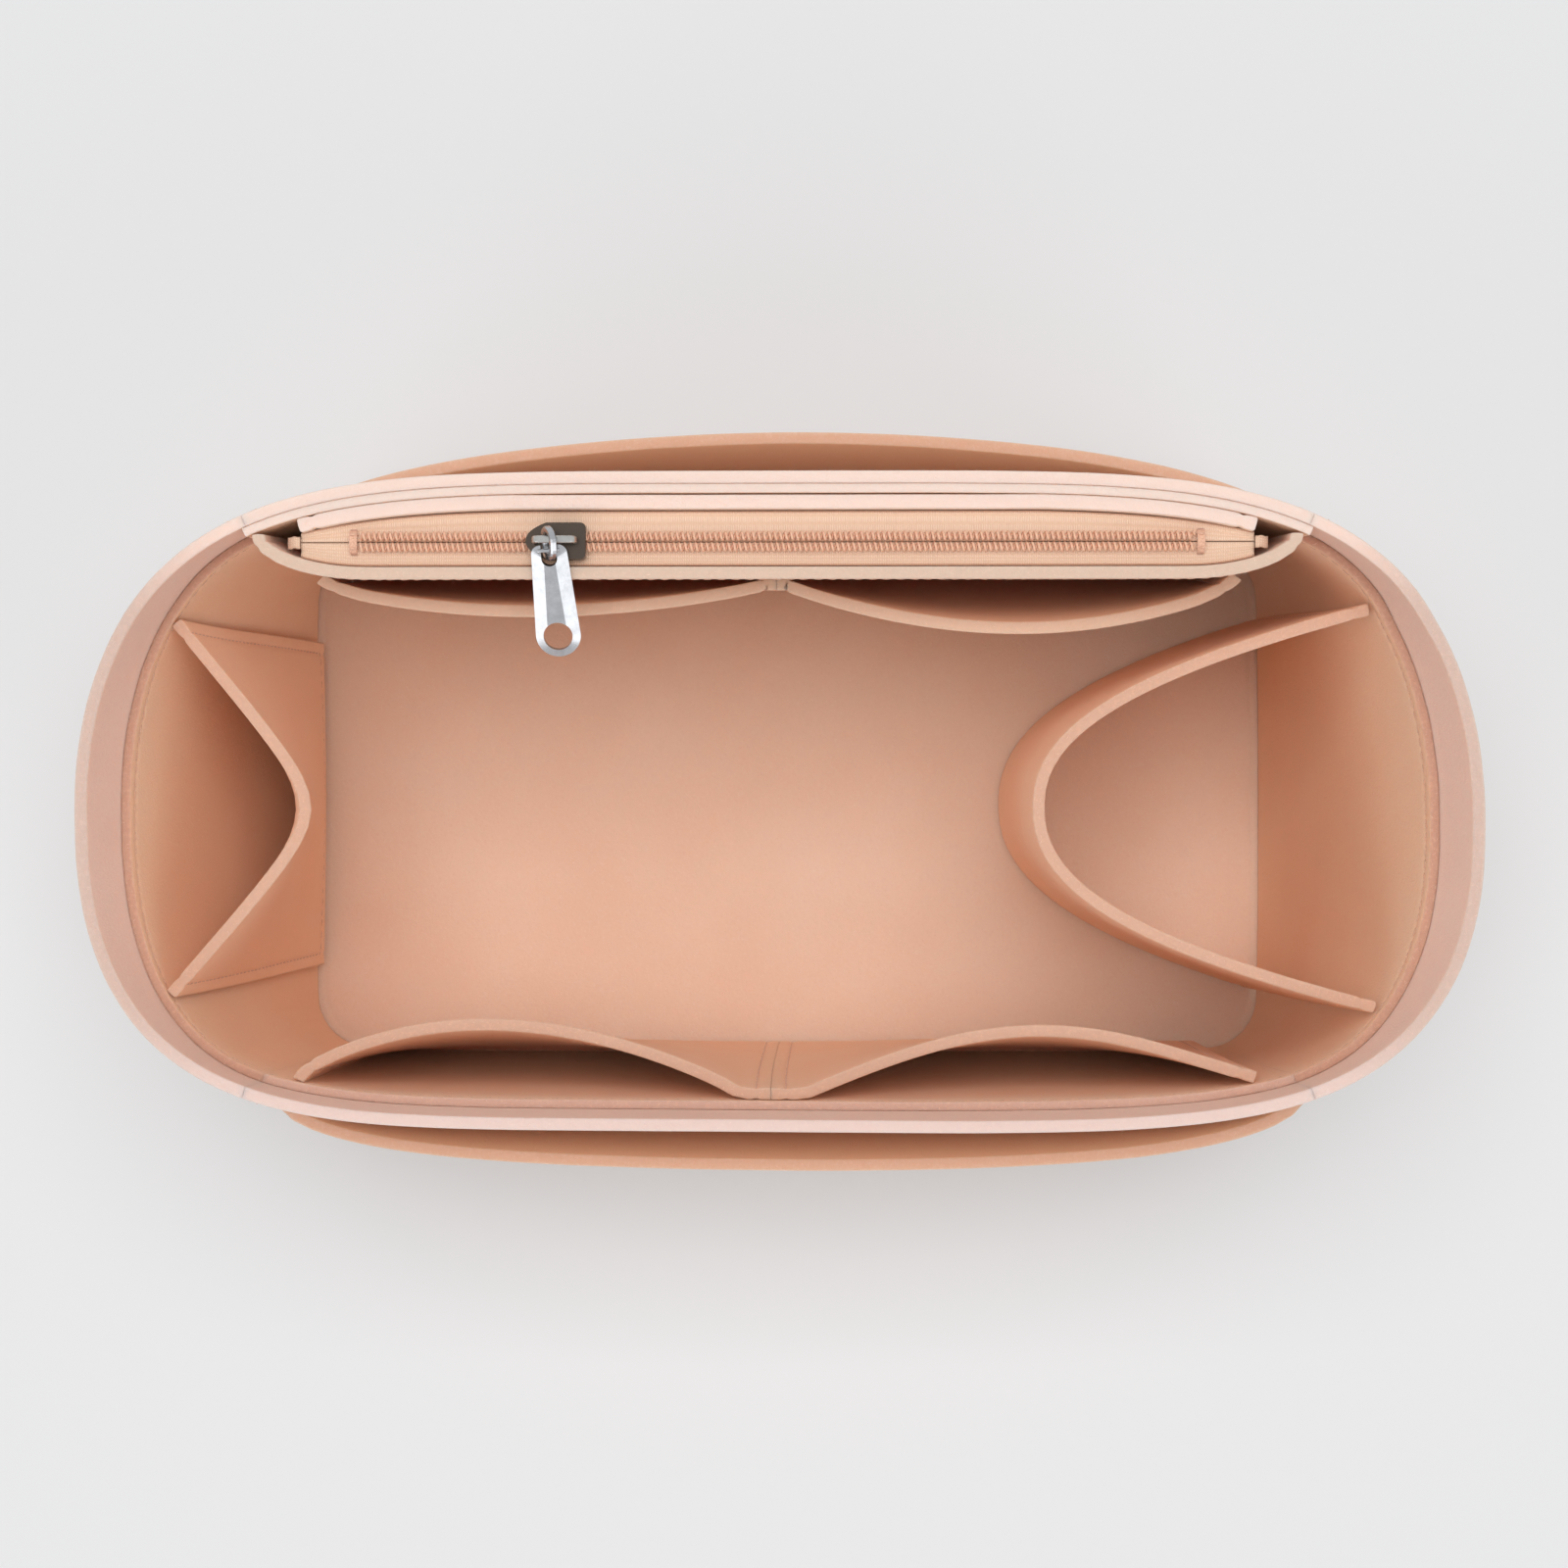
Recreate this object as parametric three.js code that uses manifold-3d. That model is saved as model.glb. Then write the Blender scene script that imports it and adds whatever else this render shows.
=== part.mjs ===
// Felt purse organizer insert: an open tub of thick felt with a lining, pockets inside and out,
// and a zipped pocket along its back whose pull lies over the front edge.
// Millimetres, +X to the right end, +Y to the back (the zipped side), +Z up, origin under the middle.
import * as THREE from 'three';
import Module from 'manifold-3d';
import { mergeVertices } from 'three/addons/utils/BufferGeometryUtils.js';

const wasm = await Module();
wasm.setup();

// Body of the tub
const rimLength = 336;
const rimWidth = 158;
const rimFrontSidePower = 5.4;
const rimFrontEndPower = 2.5;
const rimBackSidePower = 5;
const rimBackEndPower = 2.1;
const baseLength = 287;
const baseWidth = 158;
const baseCornerRadius = 20;
const bodyHeight = 160;
const felt = 3;
const liningFelt = 2;
const seatGap = 0.3;
const seamGap = 0.45;
const liningDrop = 20;
const cornerSeamRun = 40;
const liningSeamRun = 39;

// Pockets outside, sewn on the front and the back
const outerPocketTop = 120;
const outerPocketFoot = 14;
const outerPocketOpening = 11.5;
const frontOuterLeftRun = 44;
const frontOuterRightRun = 38;
const frontOuterFullnessShare = 0.34;
const backOuterLeftRun = 54;
const backOuterRightRun = 44;
const backOuterFullnessShare = 0.8;

// Two pockets on the lining of the front
const frontPocketTop = 138;
const frontPocketFoot = 12;
const frontPocketLeftOpening = 16.6;
const frontPocketRightOpening = 15.6;
const frontPocketLeftFullnessShare = 0.8;
const frontPocketRightFullnessShare = 1;
const frontPocketEndRun = 50;
const frontPocketJoinX = -1.5;
const frontPocketLeftFlat = 8.5;
const frontPocketRightFlat = 8.5;
const frontPocketLeftPeakShare = 0.44;
const frontPocketRightPeakShare = 0.51;

// Pocket folded across the left end
const endPocketTop = 139;
const endPocketFoot = 10;
const endPocketBackY = 46;
const endPocketFrontY = -49;
const endPocketDepth = 49.9;
const endPocketFootReach = 0.4;
const endPocketBendShare = 0.2;

// Bottle holder: an upright band looped across the right end
const holderTop = 137;
const holderBackY = 49.6;
const holderFrontY = -53.2;
const holderNosePower = 2.3;
const holderDepth = 102.4;
const holderSeamGap = 1.6;

// Zipped pocket along the back
const zipDepth = 16.8;
const zipPocketFoot = 9;
const zipPocketEndRun = 40.5;
const zipFrontDepth = 25.9;
const zipFrontFootDepth = 12.4;
const zipFrontArc = 27.5;
const zipFrontFootArc = 12.6;
const zipBackDepth = 7.3;
const zipBackFootDepth = 5.8;
const zipBackEndRun = 52;

// Two slip pockets on the front panel of the zipped pocket
const slipPocketTop = 130;
const slipPocketFoot = 34;
const slipPocketEndRun = 12.5;
const slipPocketInnerX = 3;
const slipPocketLeftOpening = 6.5;
const slipPocketRightOpening = 10.5;
const slipPocketFullnessShare = 0.8;
const slipPocketPeakShare = 0.48;

// Zip
const tapeDrop = 2.7;
const tapeThickness = 0.7;
const tapeTurnDown = 9;
const tapeEndGap = 2;
const coilWidth = 2.1;
const coilHeight = 2;
const coilSpacing = 1.5;
const coilChamfer = 0.6;
const coilEndGap = 14;
const tackLength = 1.8;
const tackWidth = 6.4;
const tackHeight = 2.4;
const tackChamfer = 0.7;
const foldWidth = 3;
const foldReach = 3.6;
const foldDrop = 7;

// Slider
const sliderRestX = -52.5;
const sliderLength = 14.4;
const sliderWidth = 8.8;
const sliderNoseWidth = 5.2;
const sliderLowerWidth = 6.4;
const sliderLowerNoseWidth = 3.6;
const sliderNoseLength = 5;
const sliderPlate = 1.2;
const sliderCornerRadius = 1.6;
const sliderFlange = 0.9;
const sliderWeb = 0.8;
const sliderWebLength = 5;
const crownWidth = 1.8;
const crownThickness = 1.2;
const crownChamfer = 0.3;
const crownRise = 4.2;
const crownSpan = 10.8;
const crownShoulder = 2.2;
const crownSink = 0.5;

// Link and pull
const linkInnerRadius = 1.6;
const linkWire = 1.6;
const linkCentreDistance = 2;
const linkLeanDeg = 30;
const linkBevel = 0.35;
const linkShift = 1.2;
const pullDroopDeg = 22;
const pullTurnDeg = 4;
const pullLength = 28;
const pullHeadWidth = 8.6;
const pullEndWidth = 10.8;
const pullThickness = 1.6;
const pullBevel = 0.4;
const pullEyeRadius = 1.9;
const pullEyeRim = 1;
const pullHoleRadius = 3.5;
const pullHoleRim = 1.9;
const pullHeadCorner = 3;

// How finely curves are stepped
const curveSamples = 720;
const bisections = 40;
const arcSteps = 12;
const wallRows = 4;
const endColumns = 34;
const sideColumns = 16;
const pocketColumns = 16;
const pocketRows = 3;
const coilSides = 1;

// Colours
const feltColour = 0xf0c3a5;
const tapeColour = 0xeebfa0;
const coilColour = 0xd9a184;
const steelColour = 0xc9c9cb;

// Places that follow from the sizes above: runs are taken in from the rim's or the base's end
const halfRim = half(rimLength);
const halfBase = half(baseLength);
const cornerSeamX = halfRim - cornerSeamRun;
const liningSeamX = halfRim - liningSeamRun;
const frontPocketOuterX = halfRim - frontPocketEndRun;
const endPocketApexX = endPocketDepth - halfRim;
const holderApexX = halfRim - holderDepth;
const zipY = half(rimWidth) - zipDepth;
const zipPocketEndX = halfRim - zipPocketEndRun;
const zipFrontFaceY = half(rimWidth) - zipFrontDepth;
const zipFrontFootY = half(baseWidth) - zipFrontFootDepth;
const zipBackFaceY = half(rimWidth) - zipBackDepth;
const zipBackFootY = half(baseWidth) - zipBackFootDepth;
const zipBackHalfSpan = halfRim - zipBackEndRun;
const tapeHalfLength = zipBackHalfSpan - tapeEndGap;
const coilHalfLength = tapeHalfLength - coilEndGap;
const wallFoot = felt + seatGap;
const floorTop = wallFoot + liningFelt;
const liningFoot = floorTop + seatGap;
const liningTop = bodyHeight - liningDrop;
const liningInset = felt + seatGap;
const floorInset = felt + 2 * seamGap;
const pocketInset = liningInset + liningFelt + seamGap;
const tapeTop = bodyHeight - tapeDrop;
const tapeFoot = tapeTop - tapeThickness;
const coilInnerY = coilSpacing / 2;
const coilOuterY = coilInnerY + coilWidth;
const coilFoot = tapeTop + seatGap;
const coilTop = coilFoot + coilHeight;
const sliderTop = coilTop + seatGap + sliderPlate;
const barHeight = sliderTop + crownRise;
const linkReach = linkCentreDistance + linkInnerRadius + linkWire / 2;
const eyeToHeadTop = pullEyeRadius + pullEyeRim;

function half(size) {
  return size / 2;
}

function mix(a, b, share) {
  return a + (b - a) * share;
}

function shareOf(value, low, high) {
  return (value - low) / (high - low);
}

function steps(count) {
  return Array.from({ length: count + 1 }, (_, i) => i / count);
}

// Steps that crowd towards both ends, where the walls turn
function easedSteps(count) {
  return steps(count).map((u) => half(1 - Math.cos(Math.PI * u)));
}

function between(low, high, count) {
  return steps(count).map((u) => mix(low, high, u));
}

function sampledLoop(points) {
  const lengths = [0];
  points.forEach((point, i) => {
    const next = points[(i + 1) % points.length];
    lengths.push(lengths[i] + point.distanceTo(next));
  });
  return { points, lengths, total: lengths[points.length] };
}

function pointAtShare(loop, share) {
  const wanted = (share - Math.floor(share)) * loop.total;
  let low = 0;
  let high = loop.points.length;
  while (high - low > 1) {
    const middle = Math.floor(half(low + high));
    if (loop.lengths[middle] <= wanted) low = middle;
    else high = middle;
  }
  const span = loop.lengths[low + 1] - loop.lengths[low];
  const next = loop.points[(low + 1) % loop.points.length];
  return loop.points[low].clone().lerp(next, (wanted - loop.lengths[low]) / span);
}

// Rim seen from above: flat along the sides and round at the ends, from the middle of the front
function rimLoop() {
  const angles = steps(curveSamples).slice(0, curveSamples).map((u) => 2 * Math.PI * u - half(Math.PI));
  const points = angles.map((angle) => {
    const c = Math.cos(angle);
    const s = Math.sin(angle);
    const sidePower = s < 0 ? rimFrontSidePower : rimBackSidePower;
    const endPower = s < 0 ? rimFrontEndPower : rimBackEndPower;
    const x = half(rimLength) * Math.sign(c) * Math.abs(c) ** (2 / sidePower);
    const y = half(rimWidth) * Math.sign(s) * Math.abs(s) ** (2 / endPower);
    return new THREE.Vector2(x, y);
  });
  return sampledLoop(points);
}

// Base seen from above: a rectangle with round corners, from the middle of the front
function baseLoop(inset) {
  const radius = baseCornerRadius - inset;
  const x = half(baseLength) - baseCornerRadius;
  const y = half(baseWidth) - baseCornerRadius;
  const centres = [[x, -y], [x, y], [-x, y], [-x, -y]];
  const points = [new THREE.Vector2(0, -y - radius)];
  centres.forEach(([centreX, centreY], quarter) => {
    steps(arcSteps).forEach((u) => {
      const angle = half(Math.PI) * (quarter - 1 + u);
      points.push(new THREE.Vector2(centreX + radius * Math.cos(angle), centreY + radius * Math.sin(angle)));
    });
  });
  return sampledLoop(points);
}

const rim = rimLoop();
const base = baseLoop(0);

function sectionPoint(share, z) {
  return pointAtShare(base, share).lerp(pointAtShare(rim, share), z / bodyHeight);
}

// A point of the wall at a height, moved in from its outer face by the inset
function wallPoint(share, z, inset) {
  const reach = 1 / curveSamples;
  const along = sectionPoint(share + reach, z).sub(sectionPoint(share - reach, z)).normalize();
  const point = sectionPoint(share, z);
  return new THREE.Vector2(point.x - along.y * inset, point.y + along.x * inset);
}

function solveShare(low, high, isBelow) {
  let from = low;
  let to = high;
  for (let i = 0; i < bisections; i += 1) {
    const middle = half(from + to);
    if (isBelow(middle)) from = middle;
    else to = middle;
  }
  return half(from + to);
}

// Shares of the way round at which the wall's outer face has a given x or y
function frontShare(x, z) {
  return solveShare(-1 / 4, 1 / 4, (share) => sectionPoint(share, z).x < x);
}

function backShare(x, z) {
  return solveShare(1 / 4, 3 / 4, (share) => sectionPoint(share, z).x > x);
}

function rightShare(y, z) {
  return solveShare(0, 1 / 2, (share) => sectionPoint(share, z).y < y);
}

function leftShare(y, z) {
  return 1 - rightShare(y, z);
}

function thickened(line, thickness) {
  return line.map((point, i) => {
    const before = line[Math.max(i - 1, 0)];
    const after = line[Math.min(i + 1, line.length - 1)];
    const along = after.clone().sub(before).normalize();
    return new THREE.Vector2(point.x - along.y * thickness, point.y + along.x * thickness);
  });
}

function signedVolume(points, faces) {
  return faces.reduce((sum, [a, b, c]) => {
    const cross = new THREE.Vector3().crossVectors(points[b], points[c]);
    return sum + points[a].dot(cross);
  }, 0);
}

function closedGeometry(points, faces) {
  const outward = signedVolume(points, faces) > 0;
  const index = faces.flatMap(([a, b, c]) => (outward ? [a, b, c] : [a, c, b]));
  const geometry = new THREE.BufferGeometry();
  geometry.setAttribute('position', new THREE.Float32BufferAttribute(points.flatMap((p) => p.toArray()), 3));
  geometry.setIndex(index);
  geometry.computeVertexNormals();
  return geometry;
}

// Joins like outlines of a strip, each down one side and back up the other, into one closed body
function loftGeometry(sections) {
  const count = sections[0].length;
  const rows = sections.length - 1;
  const faces = [];
  for (let row = 0; row < rows; row += 1) {
    for (let i = 0; i < count; i += 1) {
      const a = row * count + i;
      const b = row * count + ((i + 1) % count);
      // Both sides are split along the same diagonal, so that they stay one thickness apart
      if (i < half(count)) faces.push([a, b, b + count], [a, b + count, a + count]);
      else faces.push([a, b, a + count], [b, b + count, a + count]);
    }
  }
  for (let i = 0; i + 1 < half(count); i += 1) {
    const [a, b, c, d] = [i, i + 1, count - 2 - i, count - 1 - i];
    const [e, f, g, h] = [a, b, c, d].map((corner) => rows * count + corner);
    faces.push([b, a, d], [b, d, c], [e, f, h], [h, f, g]);
  }
  return closedGeometry(sections.flat(), faces);
}

// A sheet standing up: at each level it fills the space between its two faces
function standingGeometry(levels, facesAt) {
  const sections = levels.map((z) => {
    const [face, back] = facesAt(z);
    return [...face, ...back.reverse()].map((p) => new THREE.Vector3(p.x, p.y, z));
  });
  return loftGeometry(sections);
}

// A standing sheet whose face follows the line, and which thickens to the line's left
function sheetGeometry(lineAt, levels, thickness) {
  return standingGeometry(levels, (z) => [lineAt(z), thickened(lineAt(z), thickness)]);
}

function flatPanelGeometry(inset, foot, thickness) {
  const shape = new THREE.Shape(baseLoop(inset).points);
  const geometry = new THREE.ExtrudeGeometry(shape, { depth: thickness, bevelEnabled: false });
  return geometry.translate(0, 0, foot);
}

// A wall or lining panel through the given shares of the way round, with a seam's gap at its ends
function ringPanelGeometry(shares, levels, inset, thickness) {
  const gapShare = half(seamGap) / rim.total;
  const trimmed = [shares[0] + gapShare, ...shares.slice(1, -1), shares.at(-1) - gapShare];
  const faceAt = (z, depth) => trimmed.map((share) => wallPoint(share, z, depth));
  return standingGeometry(levels, (z) => [faceAt(z, inset), faceAt(z, inset + thickness)]);
}

// How far a pocket stands open along its mouth, from 0 at its sewn sides to 1 at its peak
function mouthShare(u, peakShare, fullnessShare) {
  const skew = Math.log(half(1)) / Math.log(peakShare);
  return Math.max(Math.sin(Math.PI * u ** skew), 0) ** fullnessShare;
}

function solidOf(geometry) {
  const bare = geometry.clone();
  bare.deleteAttribute('normal');
  bare.deleteAttribute('uv');
  const merged = mergeVertices(bare);
  return new wasm.Manifold(new wasm.Mesh({
    numProp: 3,
    vertProperties: new Float32Array(merged.attributes.position.array),
    triVerts: new Uint32Array(merged.index.array),
  }));
}

function geometryOf(solid) {
  const mesh = solid.getMesh();
  const geometry = new THREE.BufferGeometry();
  geometry.setAttribute('position', new THREE.Float32BufferAttribute(mesh.vertProperties, 3));
  geometry.setIndex([...mesh.triVerts]);
  geometry.computeVertexNormals();
  return geometry;
}

function feltMaterial() {
  return new THREE.MeshStandardMaterial({ color: feltColour, roughness: 0.95, metalness: 0 });
}

function tapeMaterial() {
  return new THREE.MeshStandardMaterial({ color: tapeColour, roughness: 0.85, metalness: 0 });
}

function coilMaterial() {
  return new THREE.MeshStandardMaterial({ color: coilColour, roughness: 0.5, metalness: 0 });
}

function steelMaterial() {
  return new THREE.MeshStandardMaterial({ color: steelColour, roughness: 0.2, metalness: 1 });
}

function addPart(parent, name, geometry, material) {
  const mesh = new THREE.Mesh(geometry, material);
  mesh.name = name;
  parent.add(mesh);
}

// The lining shares the wall's levels, so that the two layers have like facets
const liningLevels = between(liningFoot, liningTop, wallRows);
const wallLevels = [wallFoot, ...liningLevels, bodyHeight];

const frontSeam = frontShare(cornerSeamX, bodyHeight);
const backSeam = backShare(cornerSeamX, bodyHeight);
const liningSeam = backShare(liningSeamX, bodyHeight);
const frontShares = easedSteps(sideColumns).map((u) => mix(-frontSeam, frontSeam, u));
const rightShares = between(frontSeam, backSeam, endColumns);
const backShares = easedSteps(sideColumns).map((u) => mix(backSeam, 1 - backSeam, u));
const leftShares = rightShares.map((share) => 1 - share).reverse();
const rightLiningShares = [...rightShares.filter((share) => share < liningSeam), liningSeam];
const leftLiningShares = rightLiningShares.map((share) => 1 - share).reverse();
const backLiningShares = [liningSeam, ...backShares, 1 - liningSeam];

function addBottom(group) {
  addPart(group, 'bottom_panel', flatPanelGeometry(0, 0, felt), feltMaterial());
  addPart(group, 'floor_panel', flatPanelGeometry(floorInset, wallFoot, liningFelt), feltMaterial());
}

function addWall(group, name, shares) {
  addPart(group, name, ringPanelGeometry(shares, wallLevels, 0, felt), feltMaterial());
}

function addWalls(group) {
  addWall(group, 'front_wall', frontShares);
  addWall(group, 'right_end_wall', rightShares);
  addWall(group, 'back_wall', backShares);
  addWall(group, 'left_end_wall', leftShares);
}

function addLining(group, name, shares, levels) {
  addPart(group, name, ringPanelGeometry(shares, levels, liningInset, liningFelt), feltMaterial());
}

function addLinings(group) {
  addLining(group, 'front_lining', frontShares, liningLevels);
  addLining(group, 'right_end_lining', rightLiningShares, liningLevels);
  addLining(group, 'back_lining', backLiningShares, [...liningLevels, bodyHeight]);
  addLining(group, 'left_end_lining', leftLiningShares, liningLevels);
}

// Outer pocket: a panel between two x that leaves the wall towards its top
function outerPocketLine(z, shareAt, fromX, toX, fullnessShare) {
  const open = shareOf(z, outerPocketFoot, outerPocketTop);
  return easedSteps(pocketColumns).map((u) => {
    const air = outerPocketOpening * open * mouthShare(u, half(1), fullnessShare);
    return wallPoint(shareAt(mix(fromX, toX, u), z), z, -seamGap - air);
  });
}

function addOuterPocket(group, name, lineAt) {
  const levels = between(outerPocketFoot, outerPocketTop, pocketRows);
  addPart(group, name, sheetGeometry(lineAt, levels, -felt), feltMaterial());
}

function addOuterPockets(group) {
  addOuterPocket(group, 'front_outer_pocket', (z) => (
    outerPocketLine(z, frontShare, frontOuterLeftRun - halfRim, halfRim - frontOuterRightRun,
      frontOuterFullnessShare)));
  addOuterPocket(group, 'back_outer_pocket', (z) => (
    outerPocketLine(z, backShare, halfRim - backOuterRightRun, backOuterLeftRun - halfRim,
      backOuterFullnessShare)));
}

// Front pocket: its mouth arches between two x, and its inner side is sewn flat up to the join
function frontPocketLine(z, pocket) {
  const open = shareOf(z, frontPocketFoot, frontPocketTop);
  const xs = [...easedSteps(pocketColumns).map((u) => mix(pocket.outerX, pocket.innerX, u)), pocket.joinX];
  return xs.map((x) => {
    const u = Math.min(shareOf(x, pocket.outerX, pocket.innerX), 1);
    const air = pocket.opening * open * mouthShare(u, pocket.peakShare, pocket.fullnessShare);
    return wallPoint(frontShare(x, z), z, pocketInset + air);
  });
}

function addFrontPocket(group, name, pocket) {
  const levels = between(frontPocketFoot, frontPocketTop, pocketRows);
  const thickness = felt * Math.sign(pocket.innerX - pocket.outerX);
  const geometry = sheetGeometry((z) => frontPocketLine(z, pocket), levels, thickness);
  addPart(group, name, geometry, feltMaterial());
}

function addFrontPockets(group) {
  addFrontPocket(group, 'front_pocket_left', {
    outerX: -frontPocketOuterX,
    innerX: frontPocketJoinX - frontPocketLeftFlat,
    joinX: frontPocketJoinX - half(seamGap),
    opening: frontPocketLeftOpening,
    peakShare: frontPocketLeftPeakShare,
    fullnessShare: frontPocketLeftFullnessShare,
  });
  addFrontPocket(group, 'front_pocket_right', {
    outerX: frontPocketOuterX,
    innerX: frontPocketJoinX + frontPocketRightFlat,
    joinX: frontPocketJoinX + half(seamGap),
    opening: frontPocketRightOpening,
    peakShare: 1 - frontPocketRightPeakShare,
    fullnessShare: frontPocketRightFullnessShare,
  });
}

// End pocket: a panel bent to a blunt point, which closes on the end wall towards its foot
function endPocketLine(z) {
  const open = shareOf(z, endPocketFoot, endPocketTop);
  const back = wallPoint(leftShare(endPocketBackY, z), z, pocketInset);
  const front = wallPoint(leftShare(endPocketFrontY, z), z, pocketInset);
  const bend = endPocketBendShare;
  const full = Math.hypot(1, bend) - bend;
  return between(-1, 1, 2 * pocketColumns).map((t) => {
    const point = back.clone().lerp(front, half(t + 1));
    const reach = mix(endPocketFootReach, endPocketApexX - point.x, open);
    point.x += reach * (Math.hypot(1, bend) - Math.hypot(t, bend)) / full;
    return point;
  });
}

function addEndPocket(group) {
  const levels = between(endPocketFoot, endPocketTop, pocketRows);
  addPart(group, 'left_end_pocket', sheetGeometry(endPocketLine, levels, felt), feltMaterial());
}

// Bottle holder: the band's inner face is a parabola whose ends stand on the end wall's lining
function holderLine(z) {
  const inset = pocketInset + holderSeamGap;
  const front = wallPoint(rightShare(holderFrontY, z), z, inset);
  const back = wallPoint(rightShare(holderBackY, z), z, inset);
  return between(-1, 1, 2 * pocketColumns).map((t) => {
    const point = front.clone().lerp(back, half(t + 1));
    point.x = mix(holderApexX, point.x, Math.abs(t) ** holderNosePower);
    return point;
  });
}

function addBottleHolder(group) {
  const levels = between(floorTop + seatGap, holderTop, pocketRows);
  addPart(group, 'bottle_holder', sheetGeometry(holderLine, levels, felt), feltMaterial());
}

// Front panel of the zipped pocket: straight, then turned back to the lining by a quarter of an ellipse
function zipFrontEnds(z) {
  const open = shareOf(z, zipPocketFoot, bodyHeight);
  const end = wallPoint(backShare(zipPocketEndX, bodyHeight), z, pocketInset);
  const straight = end.x - mix(zipFrontFootArc, zipFrontArc, open);
  return { straight, end, faceY: mix(zipFrontFootY, zipFrontFaceY, open) };
}

function zipFrontLine(z) {
  const { straight, end, faceY } = zipFrontEnds(z);
  const arc = steps(arcSteps).map((u) => {
    const angle = half(Math.PI) * u;
    return new THREE.Vector2(
      mix(straight, end.x, Math.sin(angle)),
      mix(end.y, faceY, Math.cos(angle)),
    );
  });
  const mirrored = arc.map((p) => new THREE.Vector2(-p.x, p.y)).reverse();
  return [...mirrored, ...arc];
}

// Where the front panel's front face lies at a given x, and how far the panel reaches behind it
function zipFrontFace(x, z) {
  const { straight, end, faceY } = zipFrontEnds(z);
  const t = Math.max(shareOf(Math.abs(x), straight, end.x), 0);
  return mix(end.y, faceY, Math.sqrt(1 - t * t));
}

function zipFrontBack(x, z) {
  const slope = (zipFrontFace(x, z) - zipFrontFace(x - Math.sign(x) * felt, z)) / felt;
  return zipFrontFace(x, z) + felt * Math.hypot(1, slope);
}

function zipBackLine(z) {
  const faceY = mix(zipBackFootY, zipBackFaceY, shareOf(z, zipPocketFoot, bodyHeight));
  return easedSteps(sideColumns).map((u) => {
    const share = backShare(mix(zipBackHalfSpan, -zipBackHalfSpan, u), z);
    const point = wallPoint(share, z, pocketInset);
    return new THREE.Vector2(point.x, Math.min(point.y, faceY));
  });
}

function zipBackFront(x, z) {
  const faceY = mix(zipBackFootY, zipBackFaceY, shareOf(z, zipPocketFoot, bodyHeight));
  return Math.min(wallPoint(backShare(x, z), z, pocketInset).y, faceY) - felt;
}

function addZipPocket(group) {
  const levels = between(zipPocketFoot, bodyHeight, wallRows);
  addPart(group, 'zip_pocket_front_panel', sheetGeometry(zipFrontLine, levels, felt), feltMaterial());
  addPart(group, 'zip_pocket_back_panel', sheetGeometry(zipBackLine, levels, felt), feltMaterial());
}

function slipPocketLine(z, side, opening) {
  const open = shareOf(z, slipPocketFoot, slipPocketTop);
  const innerX = half(seamGap);
  const outerX = zipFrontEnds(z).end.x - slipPocketEndRun;
  return [...easedSteps(pocketColumns).map((u) => mix(outerX, slipPocketInnerX, u)), innerX].map((x) => {
    const u = Math.min(shareOf(x, outerX, slipPocketInnerX), 1);
    const air = opening * open * mouthShare(u, slipPocketPeakShare, slipPocketFullnessShare);
    return new THREE.Vector2(side * x, zipFrontFace(x, z) - seamGap - air);
  });
}

function addSlipPocket(group, name, side, opening) {
  const levels = between(slipPocketFoot, slipPocketTop, pocketRows);
  const lineAt = (z) => slipPocketLine(z, side, opening);
  addPart(group, name, sheetGeometry(lineAt, levels, felt * side), feltMaterial());
}

// Tape: flat beside the coil, then turned down along the panel that it is sewn to
function tapeSection(x, side, faceAt) {
  const innerY = zipY + side * coilInnerY;
  const outerY = (z) => faceAt(x, z) - side * (seamGap + seatGap);
  const low = tapeTop - tapeTurnDown;
  const corners = [[innerY, tapeTop], [outerY(tapeTop), tapeTop], [outerY(low), low],
    [outerY(low) - side * tapeThickness, low], [outerY(tapeFoot) - side * tapeThickness, tapeFoot],
    [innerY, tapeFoot]];
  return corners.map(([y, z]) => new THREE.Vector3(x, y, z));
}

function addTape(group, name, side, faceAt) {
  const xs = easedSteps(sideColumns).map((u) => mix(-tapeHalfLength, tapeHalfLength, u));
  const sections = xs.map((x) => tapeSection(x, side, faceAt));
  addPart(group, name, loftGeometry(sections), tapeMaterial());
}

function chamferedSection(width, height, chamfer) {
  const x = half(width);
  const y = half(height);
  const corners = [[x, chamfer - y], [x, y - chamfer], [x - chamfer, y], [chamfer - x, y],
    [-x, y - chamfer], [-x, chamfer - y], [chamfer - x, -y], [x - chamfer, -y]];
  return corners.map(([a, b]) => new THREE.Vector2(a, b));
}

// A bar along x with chamfered edges, centred on a point
function barGeometry(length, width, height, chamfer, x, y, z) {
  const shape = new THREE.Shape(chamferedSection(width, height, chamfer));
  const geometry = new THREE.ExtrudeGeometry(shape, { depth: length, steps: coilSides, bevelEnabled: false });
  const turn = new THREE.Matrix4().makeBasis(
    new THREE.Vector3(0, 1, 0),
    new THREE.Vector3(0, 0, 1),
    new THREE.Vector3(1, 0, 0),
  );
  return geometry.applyMatrix4(turn).translate(x - half(length), y, z);
}

function addCoil(group, name, side) {
  const y = zipY + side * half(coilInnerY + coilOuterY);
  const z = half(coilFoot + coilTop);
  const geometry = barGeometry(2 * coilHalfLength, coilWidth, coilHeight, coilChamfer, 0, y, z);
  addPart(group, name, geometry, coilMaterial());
}

function addEndTack(group, name, side) {
  const x = side * (coilHalfLength + seatGap + half(tackLength));
  const z = coilFoot + half(tackHeight);
  addPart(group, name, barGeometry(tackLength, tackWidth, tackHeight, tackChamfer, x, zipY, z), tapeMaterial());
}

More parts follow.
